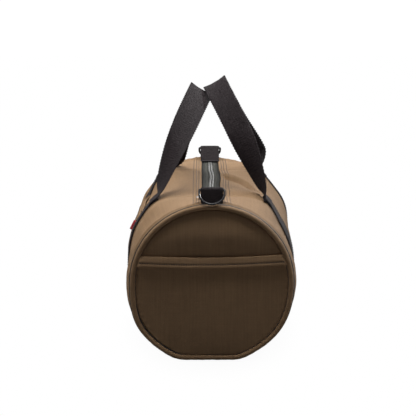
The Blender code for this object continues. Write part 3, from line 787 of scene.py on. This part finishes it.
class BAG_OT_ends(bpy.types.Operator):
    """Both ends: panel, lining, piping roll and the binding inside"""

    bl_idname = "bag.ends"
    bl_label = "Ends"

    def execute(self, context):
        for word, end in ENDS:
            self.piping(word, end)
            self.seams(word, end)
            self.end_panel(word, end)
            self.lining(word, end)
            self.binding(word)
        return {"FINISHED"}

    def piping(self, word, end):
        radius = PIPING_DEPTH / 2

        def roll(u, v):
            turn, angle = TAU * v, TAU * u
            pucker = 1 + 0.022 * sin(turn * 70) + 0.018 * sin(turn * 31 + 1)
            reach = radius * (pucker - 0.06 * bell(turn - pi, 0.012))
            offset = STAND - PIPING_SUNK + PIPING_FULLNESS * (reach * cos(angle) - radius)
            point = rim_point(turn, offset)
            out = HALF_LENGTH - radius + PIPING_LENGTH_FULLNESS * reach * sin(angle)
            return Vector((point.x, end * out, point.z))

        shape = panel(16, 420, roll, (TAU * radius, GIRTH), "closed")
        add(f"{word}_piping_roll", shape, "canvas", [f"{word}_piping"])

    def seams(self, word, end):
        """Dark cords in the seams inside and behind the piping, as painted shade for the crevices'
        shadow. The inner one lies on the pocket low down.
        """
        def inner_place(z):
            pocket = 1 - ease((z - HEM_HIGH.z) / 0.010) if end < 0 else 0.0
            return end * (0.0022 * pocket - 0.75 * SEAM_DEPTH - END_PANEL_LOW.y)

        def outer_place(z):
            return end * (PANEL_HALF - 0.0002)

        # Dark cords stand in for the shadow in the crevices: painted shade.
        self.seam(f"{word}_inner_seam", -RIM_INSET - 0.0022, 0.0010, 1.5, inner_place)
        self.seam(f"{word}_outer_seam", 0.0006, 0.0012, 0.95, outer_place)

    def seam(self, name, offset, flank_offset, fullness, place):
        """Dark cord of thread colour drawn tight in a seam, fuller than a single thread, at
        place(z) along the bag: painted shade for the seam's shadow.
        """
        width = bpy.context.scene.bag_sizes.thread_width * fullness

        def thread(u, v):
            out = offset + flank_offset * sin(TAU * v) ** 2 + width * cos(TAU * u)
            point = rim_point(TAU * v, out)
            return Vector((point.x, place(point.z) + width * sin(TAU * u), point.z))

        add(name, panel(6, 260, thread, (TAU * width, GIRTH), "closed"), "thread")

    def end_panel(self, word, end):
        def disc(u, v):
            rim = rim_point(TAU * u, -RIM_INSET)
            reach = 1 - (1 - v) ** 1.7
            x = rim.x * reach
            z = END_MIDDLE + (rim.z - END_MIDDLE) * reach
            out = END_BULGE * (1 - reach ** BULGE_POWER)
            if end < 0:
                out *= ease((z - HEM_HIGH.z - BULGE_START) / BULGE_RISE)
            wave = END_WAVE * noise.noise(Vector((x * 26, z * 9, end * 3.0)))
            # Faint upright ridge over the pocket, which leans a little
            ridge = END_RIDGE * bell(x - 0.001 - 0.05 * (z - 0.18), END_RIDGE_REACH)
            out += (wave + ridge * ease((z - 0.15) / 0.02)) * ease((1 - reach) * 8)
            out += END_PUCKER * sin(u * TAU * 46) * bell(1 - reach, 0.07)
            out -= SEAM_DEPTH * bell(1 - reach, SEAM_SHARE)
            return Vector((x, end * (out - END_PANEL_LOW.y), z))

        add(f"{word}_end_canvas", panel(150, 56, disc, flat_weave, "seam"), "canvas",
            [f"{word}_end_panel"], END_PANEL_HIGH.y - END_PANEL_LOW.y, facing(0, end, 0))

    def lining(self, word, end):
        low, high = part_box(f"{word}_end_lining")
        outer = max(abs(low.y), abs(high.y))

        def disc(u, v):
            rim = rim_point(TAU * u, -RIM_INSET)
            wave = 0.0003 * noise.noise(Vector((u * 9, v * 5, end)))
            z = END_MIDDLE + (rim.z - END_MIDDLE) * v
            return Vector((rim.x * v, end * (outer - SEAM_DEPTH * v ** 14 - 0.0003 - wave), z))

        add(f"{word}_end_lining_cloth", panel(72, 10, disc, flat_weave, "seam"), "lining",
            [f"{word}_end_lining"], high.y - low.y, facing(0, end, 0))

    def binding(self, word):
        low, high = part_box(f"{word}_seam_binding")
        width = high.y - low.y

        def strip(u, v):
            angle = TAU * u
            point = rim_point(TAU * v, 0.0005 * cos(angle) - BINDING_DEPTH)
            point.y = (high.y + low.y) / 2 + (width / 2) * sin(angle)
            return point

        shape = panel(8, 140, strip, (2 * width, GIRTH), "closed")
        add(f"{word}_binding_tape", shape, "webbing", [f"{word}_seam_binding"])


def drawn_in(x, z):
    """How deep the end's cloth is drawn into its seam at a place on the end."""
    up = z - END_MIDDLE
    rim = rim_point(atan2(x, up), -RIM_INSET)
    share = hypot(x, up) / hypot(rim.x, rim.z - END_MIDDLE)
    return SEAM_DEPTH * bell(1 - share, SEAM_SHARE)


class BAG_OT_end_pocket(bpy.types.Operator):
    """Slip pocket on the near end, with its folded and stitched hem"""

    bl_idname = "bag.end_pocket"
    bl_label = "End pocket"

    def execute(self, context):
        low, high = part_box("end_pocket_panel")
        top = HEM_HIGH.z + HEM_RISE
        hem_width = HEM_HIGH.z - HEM_LOW.z + HEM_EXTRA
        row = top - hem_width + HEM_ROW

        def half_width(z):
            """Half the width inside the piping at height z."""
            low_turn, high_turn = 0.0, pi
            for _ in range(24):
                turn = (low_turn + high_turn) / 2
                if rim_point(turn, -RIM_INSET).z > z:
                    low_turn = turn
                else:
                    high_turn = turn
            return rim_point(low_turn, -RIM_INSET).x

        def sag(x):
            """How far the mouth hangs in its middle, and leans to the right."""
            return MOUTH_SLOPE * x - MOUTH_SAG * (1 - min(1.0, (x / MOUTH_HALF) ** 2))

        def cloth(u, v):
            z = low.z + (top - low.z) * v
            across = 2 * u - 1
            x = across * half_width(max(z, low.z + 0.0002))
            rounded = sin(pi * min(1.0, v * 1.05)) ** 0.7
            bulge = POCKET_BULGE * (1 - across ** 2) * rounded
            wave = POCKET_WAVE * noise.noise(Vector((x * 22, z * 10, 5.0)))
            mouth = POCKET_MOUTH * ease((v - 0.8) * 5)
            z += sag(x) * ease((v - 0.5) * 2)
            edge = END_PUCKER * sin(z * 700) * bell(1 - abs(across), 0.05)
            out = bulge + (wave + mouth) * (1 - across ** 4)
            return Vector((x, low.y - out + edge + drawn_in(x, z), z))

        def stand_off(z):
            """The hem's front leans out towards its lower edge, and dips at its stitches."""
            return HEM_LEAN * (top - z) / hem_width - HEM_DIP * bell(z - row, HEM_DIP_REACH)

        def hem(u, v):
            """Flat loop of cloth: up the front, over the fold and down the back."""
            z = top - hem_width * (0.5 + 0.5 * cos(TAU * v))
            x = (2 * u - 1) * half_width(z)
            roll = sin(TAU * v)
            front = min(1.0, max(0.0, -4 * roll))
            y = cloth(u, (z - low.z) / (top - low.z)).y - HEM_GAP + HEM_HALF * roll
            return Vector((x, y - front * stand_off(z), z + sag(x)))

        def on_hem(share):
            u = 0.012 + 0.976 * share
            x = (2 * u - 1) * half_width(row)
            y = cloth(u, (row - low.z) / (top - low.z)).y - HEM_GAP - HEM_HALF - stand_off(row)
            return Vector((x, y, row + sag(x)))

        out = facing(0, -1, 0)
        add("end_pocket_canvas", panel(120, 90, cloth, flat_weave), "canvas",
            ["end_pocket_panel"], high.y - low.y, out)
        add("end_pocket_hem_fold", panel(120, 44, hem, flat_weave, "closed"), "canvas",
            ["end_pocket_hem"])
        stitch("hem_stitching", [on_hem], END_HEM_LENGTH, out, "thread", 0.0016)
        return {"FINISHED"}


def webbing_section(u, width, thickness):
    """Point round the webbing's rounded flat section, as (across, out)."""
    angle = TAU * u
    across = signed_power(cos(angle), 0.5) * width / 2
    out = signed_power(sin(angle), 0.75) * thickness / 2
    return across, out


def scallop(distance):
    """Small bumps of the webbing's woven edge."""
    return SCALLOP_DEPTH * sin(TAU * distance / SCALLOP_PITCH)


class BAG_OT_bands(bpy.types.Operator):
    """Two webbing bands round the barrel, with their edge stitching"""

    bl_idname = "bag.bands"
    bl_label = "Bands"

    def execute(self, context):
        for word, end in ENDS:
            self.band(word, end * BAND_MIDDLE)
        return {"FINISHED"}

    def band(self, word, middle):
        def turn_at(share):
            return share_turn(middle, BAND_TOP_SHARE + (1 - 2 * BAND_TOP_SHARE) * share)

        def webbing(u, v):
            across, out = webbing_section(u, BAND_WIDTH - 0.0004, WEBBING)
            y = middle + across * (1 + scallop(v * BAND_LENGTH) / BAND_HALF)
            return cloth_point(y, turn_at(v), CLEARANCE + WEBBING / 2 + out)

        def edge_row(edge):
            y = middle + edge * (BAND_HALF - EDGE_ROW)
            return lambda share: cloth_point(y, turn_at(share), CLEARANCE + WEBBING + 0.00005)

        shape = panel(22, 420, webbing, (2 * BAND_WIDTH, BAND_LENGTH), "closed")
        add(f"{word}_band_webbing", shape, "webbing", [f"{word}_band"])
        stitch(f"{word}_band_stitching", [edge_row(-1), edge_row(1)], BAND_LENGTH, from_axis,
               "black_thread", lowest=0.012)


class BAG_OT_side_pocket(bpy.types.Operator):
    """Patch pocket on the left between the bands, its hem, and the bare red tab"""

    bl_idname = "bag.side_pocket"
    bl_label = "Side pocket"

    def execute(self, context):
        start, width = POCKET_LOW.y, POCKET_HIGH.y - POCKET_LOW.y
        top_share = POCKET_TOP_STEP / SKIN_STEPS
        height_share = (POCKET_TOP_STEP - POCKET_BOTTOM_STEP) / SKIN_STEPS
        hem_share = 0.09

        def sewn(y, v, lift):
            """Point at a share v of the pocket's height, which gapes towards its mouth."""
            gape = SIDE_GAPE * ease((v - 0.55) / 0.45) * ease(1 - abs(y / start)) ** 0.5
            turn = share_turn(y, top_share - height_share * (1 - v))
            return cloth_point(y, turn, CLEARANCE + CANVAS + gape + lift)

        def cloth(u, v):
            y = start + width * u
            wave = 0.0006 * noise.noise(Vector((y * 20, v * 4, 9.0)))
            return sewn(y, v, wave * sin(pi * u))

        def hem(u, v):
            down = hem_share * (0.5 - 0.5 * cos(TAU * v))
            return sewn(start + width * u, 1 - down, 0.0010 - 0.0009 * sin(TAU * v))

        def on_hem(share):
            return sewn((start + 0.002) * (1 - 2 * share), 1 - 0.8 * hem_share, 0.0019)

        add("side_pocket_canvas", panel(110, 70, cloth, (width, 0.16)), "canvas",
            ["front_pocket_panel"], CANVAS, from_axis)
        add("side_pocket_hem_fold", panel(110, 20, hem, (width, 0.03), "closed"), "canvas",
            ["front_pocket_hem"])
        stitch("side_pocket_stitching", [on_hem], SIDE_HEM_LENGTH, from_axis, "thread")
        self.tab()
        return {"FINISHED"}

    def tab(self):
        low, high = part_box("side_tab")
        y = (low.y + high.y) / 2
        root = cloth_point(y, share_turn(y, TAB_STEP / SKIN_STEPS), CLEARANCE)
        out = from_axis(root).normalized()
        down = Vector((0, 1, 0)).cross(out).normalized()
        thick = (high.y - low.y) * 0.45

        def cloth(u, v):
            angle = TAU * u
            across = TAB_HALF * signed_power(cos(angle), 0.4)
            ply = thick * sin(angle) * (1 - 0.5 * bell(1 - v, 0.05))
            bent = Vector((0, ply + 0.001 * v * v, 0))
            return root + down * across + out * (TAB_REACH * v) + bent

        add("bare_side_tab", panel(24, 22, cloth, (4 * TAB_HALF, 0.012), "closed"), "tab",
            ["side_tab"])


def lengths_along(path):
    """Length from the path's start to each of its points."""
    lengths = [0.0]
    for one, two in zip(path, path[1:]):
        lengths.append(lengths[-1] + (two - one).length)
    return lengths


class BAG_OT_handles(bpy.types.Operator):
    """Webbing handles that leave the bands flat and turn on edge, blended over their feet"""

    bl_idname = "bag.handles"
    bl_label = "Handles"

    def execute(self, context):
        self.handle("right", 1, RIGHT_BOWS, RIGHT_TWIST_RISES)
        self.handle("left", -1, LEFT_BOWS, LEFT_TWIST_RISES)
        return {"FINISHED"}

    def handle(self, word, side, bows, twist_rises):
        pivot = pivot_of(f"{word}_handle_swing")
        centres, halves = self.path(word, side, pivot, bows, twist_rises)
        lengths = lengths_along(centres)
        last = len(centres) - 1

        def webbing(u, v):
            place = v * last
            index = min(last - 1, int(place))
            share = place - index
            centre = centres[index].lerp(centres[index + 1], share)
            half = halves[index].lerp(halves[index + 1], share).normalized()
            along = (centres[min(last, index + 2)] - centres[max(0, index - 1)]).normalized()
            half = (half - along * half.dot(along)).normalized()
            distance = lengths[index] + (lengths[index + 1] - lengths[index]) * share
            across, out = webbing_section(u, BAND_WIDTH, HANDLE_WEBBING)
            across *= 1 + scallop(distance) / BAND_HALF
            arched = sin(pi * v) ** 2
            cup = (FOOT_CUP + TOP_CUP * arched ** 5) * arched
            out += cup * (1 - (across / BAND_HALF) ** 2)
            return centre + half * across + along.cross(half) * out

        shape = panel(26, 480, webbing, (2 * BAND_WIDTH, lengths[-1]), "closed")
        piece = add(f"{word}_handle_webbing", shape, "webbing", [f"{word}_handle"], body=None)
        leg = (centres[LEG_ROWS[1]] - centres[LEG_ROWS[0]]).normalized()
        leg.y = 0.0
        pivot + leg.normalized() * 0.030
        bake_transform(piece)

    def path(self, word, side, pivot, bows, twist_rises):
        """Middle of the webbing and half its width as a vector, from the near foot to the far."""
        low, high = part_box(f"{word}_handle")
        tilt = HANDLE_TILT * side
        across = Vector((cos(tilt), 0.0, sin(tilt)))
        top_x = low.x + TOP_INSET if side > 0 else high.x - TOP_INSET
        climb = Vector((top_x, 0.0, high.z - TOP_DROP)) - pivot
        outwards = Vector((side, 0.0, 0.0))
        centres, halves = [], []
        for number in range(PATH_STEPS + 1):
            angle = pi * (1 - number / PATH_STEPS)
            along = signed_power(cos(angle), ARCH_POWER)
            up = abs(sin(angle)) ** ARCH_POWER
            leg = 0 if along < 0 else 1
            bow, slack = bows[leg]
            peak = slack ** slack / (slack + 1) ** (slack + 1)
            centre = pivot + climb * up + outwards * bow * up * (1 - up) ** slack / peak
            centre.y = BAND_MIDDLE * along
            risen = min(1.0, up * climb.z / twist_rises[leg])
            early = EARLY_TWIST * ease(risen * 9) * (1 - ease((risen - 0.12) * 2.5))
            twist = pi / 2 * (risen ** 0.9 + early)
            flat = Vector((0.0, copysign(cos(twist), along), 0.0))
            centres.append(centre)
            halves.append(flat + across * sin(twist))
        near, far = self.foot(-1, side), self.foot(1, side)[::-1]
        centres = [row[0] for row in near] + centres[2:-2] + [row[0] for row in far]
        halves = [row[1] for row in near] + halves[2:-2] + [row[1] for row in far]
        for _ in range(5):
            centres, halves = self.smoothed(centres), self.smoothed(halves)
        return centres, halves

    def foot(self, end, side):
        """Rows of the sewn foot, which lies over the end of the band, from its cut end upwards."""
        rows = []
        middle = end * BAND_MIDDLE
        for number in range(FOOT_ROWS):
            below = 1 - number / FOOT_ROWS
            share = BAND_TOP_SHARE + FOOT_SHARE * below
            share = share if side > 0 else 1 - share
            lift = 2 * CLEARANCE + WEBBING + FOOT_LIFT * (1 - below)
            low, high = (
                cloth_point(y, share_turn(y, share), lift)
                for y in (middle - end * BAND_HALF, middle + end * BAND_HALF))
            inside = cloth_point(middle, share_turn(middle, share), lift)
            rows.append((((low + high) / 2).lerp(inside, 0.6), (high - low).normalized()))
        return rows

    def smoothed(self, rows):
        inner = [(a + 2 * b + c) / 4 for a, b, c in zip(rows, rows[1:], rows[2:])]
        return [rows[0], *inner, rows[-1]]


class BAG_OT_zip(bpy.types.Operator):
    """Zip: tape halves and ends, coil turns, slider and pull"""

    bl_idname = "bag.zip"
    bl_label = "Zip"

    def execute(self, context):
        for word, side in SIDES:
            self.tape_half(word, side)
        for word, end in ENDS:
            for hand, side in SIDES:
                self.tape_end(word, end, hand, side)
        for node in ("zip_slider", "zip_pull"):
            materials = frame["nodes"][node].data.materials
            materials.clear()
            materials.append(finish("nickel"))
        return {"FINISHED"}

    def tape_half(self, word, side):
        inner = ZIP_SPLIT / 2

        def tape(u, v):
            y = (2 * v - 1) * ZIP_OPEN_HALF
            stray = wander(y) * (1.0 if side > 0 else 1.0 - u)
            x = side * (inner + (ZIP_EDGE - inner) * u) + stray
            return Vector((x, y, ZIP_TOP - 0.0001 * sin(pi * u)))

        shape = panel(10, 60, tape, (ZIP_EDGE - inner, 2 * ZIP_OPEN_HALF))
        add(f"zip_tape_{word}", shape, "tape", [f"zip_half_{word}"], ZIP_THICKNESS,
            facing(0, 0, 1), f"zip_{word}")
        self.coil(f"zip_coil_turns_{word}", side, (-ZIP_OPEN_HALF, ZIP_OPEN_HALF),
                  f"zip_{word}", f"zip_coil_{word}", OPEN_COIL_FULLNESS)

    def tape_end(self, word, end, hand, side):
        """Half of the tape's sewn-down end, whose two halves part where the zip starts."""
        low, high = (abs(corner.y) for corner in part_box(f"{word}_zip_end"))
        outer, inner = max(low, high), min(low, high)

        def tape(u, v):
            y = outer + (inner - outer) * v
            split = ZIP_SPLIT * ease((outer - SPLIT_START - y) / SPLIT_RUN)
            return Vector((side * (split + (ZIP_EDGE - split) * u), end * y, ZIP_TOP))

        replaced = [f"{word}_zip_end"] if side < 0 else []
        add(f"{word}_tape_end_{hand}", panel(10, 24, tape, (ZIP_EDGE, outer - inner)), "tape",
            replaced, ZIP_THICKNESS, facing(0, 0, 1))
        node = f"{word}_coil_end_{hand}"
        low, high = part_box(node)
        self.coil(f"{word}_coil_turns_{hand}", side, (low.y, high.y), BAG, node,
                  END_COIL_FULLNESS)

    def coil(self, name, side, span, body, node, fullness):
        """Row of nylon turns, each a small bead of few faces, which stands for a plain node."""
        pitch = bpy.context.scene.bag_sizes.coil_pitch
        start, stop = span
        half_width = (COIL_HIGH.x - COIL_LOW.x) / 2
        height = (COIL_HIGH.z - COIL_LOW.z) / 2
        scaled = Matrix.Diagonal((half_width * fullness, pitch * TURN_SHARE, height, 1.0))
        shape = bmesh.new()
        count = int((stop - start) / pitch)
        for number in range(count):
            y = start + (number + 0.5) * (stop - start) / count
            x = side * (COIL_LOW.x + half_width) + wander(y)
            x += side * COIL_STAGGER * (number % 2) * (fullness - 1)
            matrix = Matrix.Translation((x, y, COIL_LOW.z + height)) @ scaled
            bmesh.ops.create_icosphere(shape, subdivisions=1, radius=1.0, matrix=matrix)
        add(name, shape, "coil", [node], body=body)


class BAG_OT_rings(bpy.types.Operator):
    """Webbing loops at the zip's ends and their black D-rings"""

    bl_idname = "bag.rings"
    bl_label = "Loops and D-rings"

    def execute(self, context):
        for word, end in ENDS:
            pivot = pivot_of(f"{word}_dring_swing")
            self.loop(word, end, pivot)
            self.ring(word, end, pivot)
        return {"FINISHED"}

    def loop(self, word, end, pivot):
        """Webbing that stands up round the ring's bar, both legs sewn down."""
        base = BODY_TOP + CLEARANCE + LOOP_WEBBING / 2
        radius = RING_WIRE + CLEARANCE + LOOP_WEBBING / 2
        eye = Vector((HALF_LENGTH - abs(pivot.y), pivot.z))
        front, back = Vector((LOOP_FRONT_FOOT, base)), Vector((LOOP_BACK_FOOT, base))
        turns = []
        for foot, sign in ((back, 1), (front, -1)):
            reach = foot - eye
            turn = atan2(reach.y, reach.x) + sign * acos(radius / reach.length)
            turns.append(turn % TAU)
        start, stop = turns
        if stop < start:
            stop += TAU
        bend = [eye + radius * Vector((cos(turn), sin(turn)))
                for turn in turns_between(start, stop, BEND_STEPS)]
        path = [back + Vector((LOOP_TACK * share, 0.0)) for share in (1.0, 0.5, 0.0)]
        path += [back.lerp(bend[0], share) for share in (0.12, 0.35, 0.65, 0.9)]
        path += bend + [bend[-1].lerp(front, share) for share in (0.3, 0.6, 1.0)]
        lengths = lengths_along(path)
        width = LOOP_HIGH.x - LOOP_LOW.x

        def at(distance):
            index = min(len(path) - 2, max(0, bisect_left(lengths, distance) - 1))
            share = (distance - lengths[index]) / (lengths[index + 1] - lengths[index])
            return path[index].lerp(path[index + 1], share)

        def webbing(u, v):
            across, out = webbing_section(u, width, LOOP_WEBBING)
            distance = v * lengths[-1]
            step = at(min(lengths[-1], distance + 0.0006)) - at(max(0.0, distance - 0.0006))
            step.normalize()
            point = at(distance) + Vector((-step.y, step.x)) * out
            across *= 1 + 0.5 * scallop(distance) / (width / 2)
            return Vector((across, end * (HALF_LENGTH - point.x), point.y))

        shape = panel(24, 90, webbing, (2 * width, lengths[-1]), "closed")
        add(f"{word}_loop_webbing", shape, "webbing", [f"{word}_dring_loop"])

    def ring(self, word, end, pivot):
        """Round wire bent to a D: its bar, corners and bow."""
        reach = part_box(f"{word}_dring")[1].x - RING_WIRE - 0.0001
        inset = reach - RING_CORNER
        across = Vector((1.0, 0.0, 0.0))
        down = Vector((0.0, end * cos(RING_SLANT), -sin(RING_SLANT)))
        normal = across.cross(down).normalized()

        def corner(side, angle):
            x = side * (inset + RING_CORNER * cos(angle))
            return x, RING_CORNER * (1 - sin(angle))

        bend = [(-inset, 0.0), (inset, 0.0)]
        bend += [corner(1, turn) for turn in turns_between(pi / 2, 0.0, CORNER_STEPS)[1:]]
        bend += [(reach * cos(turn), RING_SIDE + reach * sin(turn))
                 for turn in turns_between(0.0, pi, BOW_STEPS)]
        bend += [corner(-1, turn) for turn in turns_between(0.0, pi / 2, CORNER_STEPS)[:-1]]
        points = [pivot + across * x + down * drop for x, drop in bend]
        count = len(points)

        def round_wire(u, v):
            index = int(v * count)
            share = v * count - index
            before, one, two, after = (points[(index + step) % count] for step in (-1, 0, 1, 2))
            along = (two - before).normalized().lerp((after - one).normalized(), share)
            side_way = along.normalized().cross(normal).normalized()
            angle = TAU * u
            out = side_way * cos(angle) + normal * sin(angle)
            return one.lerp(two, share) + RING_WIRE * out

        shape = panel(16, count * 2, round_wire, (TAU * RING_WIRE, 0.12), "closed")
        add(f"{word}_ring_wire", shape, "black_metal", [f"{word}_dring"], body=f"{word}_dring")


# Lamps: name, place, target, size, power and whether only shiny pieces show it
LAMPS = (
    ("top_softbox", (-0.15, 0.50, 1.7), (0.0, 0.0, 0.1), 1.1, 26.0, False),
    ("front_softbox", (0.08, -0.36, 2.0), (0.0, -0.2, 0.12), 0.35, 17.0, False),
    ("left_softbox", (-0.95, -0.20, 1.7), (0.0, 0.0, 0.15), 0.8, 19.0, False),
    ("right_softbox", (0.95, -0.10, 1.7), (0.0, 0.0, 0.15), 0.8, 18.0, False),
    ("glint_card", (0.80, 0.10, 1.05), (0.0, -0.2, 0.2), 0.20, 45.0, True),
)
SKY_LIGHT, SKY_SEEN, SKY_MIRRORED = 0.055, 1.1, 0.45
PHOTO_PIXELS = 416.0
FOCAL_PIXELS = 1282.0
SENSOR = 36.0
CAMERA_PLACE = (-0.0165, -2.025, 0.575)
CAMERA_DIP = radians(10.9)
CAMERA_TURN = -0.0060


class BAG_OT_stage(bpy.types.Operator):
    """Pale floor, studio light and the camera"""

    bl_idname = "bag.stage"
    bl_label = "Stage"

    def execute(self, context):
        self.floor(context)
        self.sky(context)
        for lamp in LAMPS:
            self.lamp(context, *lamp)
        self.camera(context)
        return {"FINISHED"}

    def floor(self, context):
        shape = bmesh.new()
        bmesh.ops.create_grid(shape, x_segments=1, y_segments=1, size=6.0)
        mesh = bpy.data.meshes.new("floor")
        shape.to_mesh(mesh)
        shape.free()
        recipe = Recipe(bpy.data.materials.new("pale_floor"))
        recipe.set(Base_Color=(0.16, 0.16, 0.16), Roughness=0.9)
        place = recipe.object_place()
        spread = recipe.node("ShaderNodeVectorMath", {"operation": "MULTIPLY"}, [place, (9, 4, 1)])
        away = recipe.node("ShaderNodeVectorMath", {"operation": "LENGTH"}, [spread], output=1)
        white = 0.935 + 0.065 * away.ramp(0.6, 1.4)
        seen = (recipe.ray("Camera") + recipe.ray("Glossy")) * white
        glow = recipe.node("ShaderNodeEmission", None, {"Color": (1.0, 1.0, 1.0), "Strength": 1.0})
        lit = Value(recipe, recipe.shader.outputs[0])
        mixed = recipe.node("ShaderNodeMixShader", None, [seen, lit, glow])
        recipe.feed(recipe.tree.nodes["Material Output"].inputs["Surface"], mixed)
        mesh.materials.append(recipe.owner)
        floor = bpy.data.objects.new("floor", mesh)
        context.scene.collection.objects.link(floor)

    def sky(self, context):
        """Bright to the camera and in gloss, and dim as a light."""
        world = bpy.data.worlds.new("studio")
        context.scene.world = world
        sky = Recipe(world, "Background")
        seen = sky.ray("Camera").most(sky.ray("Glossy") * SKY_MIRRORED)
        sky.set(Color=(1.0, 0.94, 1.0), Strength=SKY_LIGHT + (SKY_SEEN - SKY_LIGHT) * seen)

    def lamp(self, context, name, place, target, size, power, only_gloss):
        light = bpy.data.lights.new(name, "AREA")
        light.shape = "SQUARE"
        light.size = size
        light.energy = power
        lamp = bpy.data.objects.new(name, light)
        lamp.location = place
        aim = Vector(target) - Vector(place)
        lamp.rotation_euler = aim.to_track_quat("-Z", "Y").to_euler()
        if only_gloss:
            lamp.visible_diffuse = False
            lamp.visible_camera = False
        context.scene.collection.objects.link(lamp)

    def camera(self, context):
        lens = bpy.data.cameras.new("camera")
        lens.sensor_width = SENSOR
        lens.lens = SENSOR * FOCAL_PIXELS / PHOTO_PIXELS
        camera = bpy.data.objects.new("camera", lens)
        camera.location = CAMERA_PLACE
        camera.rotation_euler = (pi / 2 - CAMERA_DIP, 0.0, CAMERA_TURN)
        context.scene.collection.objects.link(camera)
        context.scene.camera = camera
        context.scene.view_settings.view_transform = "Standard"


class BAG_PT_panel(bpy.types.Panel):
    """Sizes, colours and pieces of the bag"""

    bl_label = "Barrel bag"
    bl_idname = "BAG_PT_panel"
    bl_space_type = "VIEW_3D"
    bl_region_type = "UI"
    bl_category = "Bag"

    def draw(self, context):
        for group in (context.scene.bag_sizes, context.scene.bag_colours):
            for name in group.__annotations__:
                self.layout.prop(group, name)
        for operator in PIECES:
            self.layout.operator(operator.bl_idname)


PIECES = (
    BAG_OT_barrel, BAG_OT_ends, BAG_OT_end_pocket, BAG_OT_bands, BAG_OT_side_pocket,
    BAG_OT_handles, BAG_OT_zip, BAG_OT_rings, BAG_OT_stage,
)
CLASSES = (BagSizes, BagColours, *PIECES, BAG_PT_panel)


def register():
    for item in CLASSES:
        bpy.utils.register_class(item)
    bpy.types.Scene.bag_sizes = bpy.props.PointerProperty(type=BagSizes)
    bpy.types.Scene.bag_colours = bpy.props.PointerProperty(type=BagColours)


def unregister():
    del bpy.types.Scene.bag_colours
    del bpy.types.Scene.bag_sizes
    for item in reversed(CLASSES):
        bpy.utils.unregister_class(item)


def main():
    register()
    for operator in PIECES:
        group, name = operator.bl_idname.split(".")
        getattr(getattr(bpy.ops, group), name)()


if __name__ == "__main__":
    main()
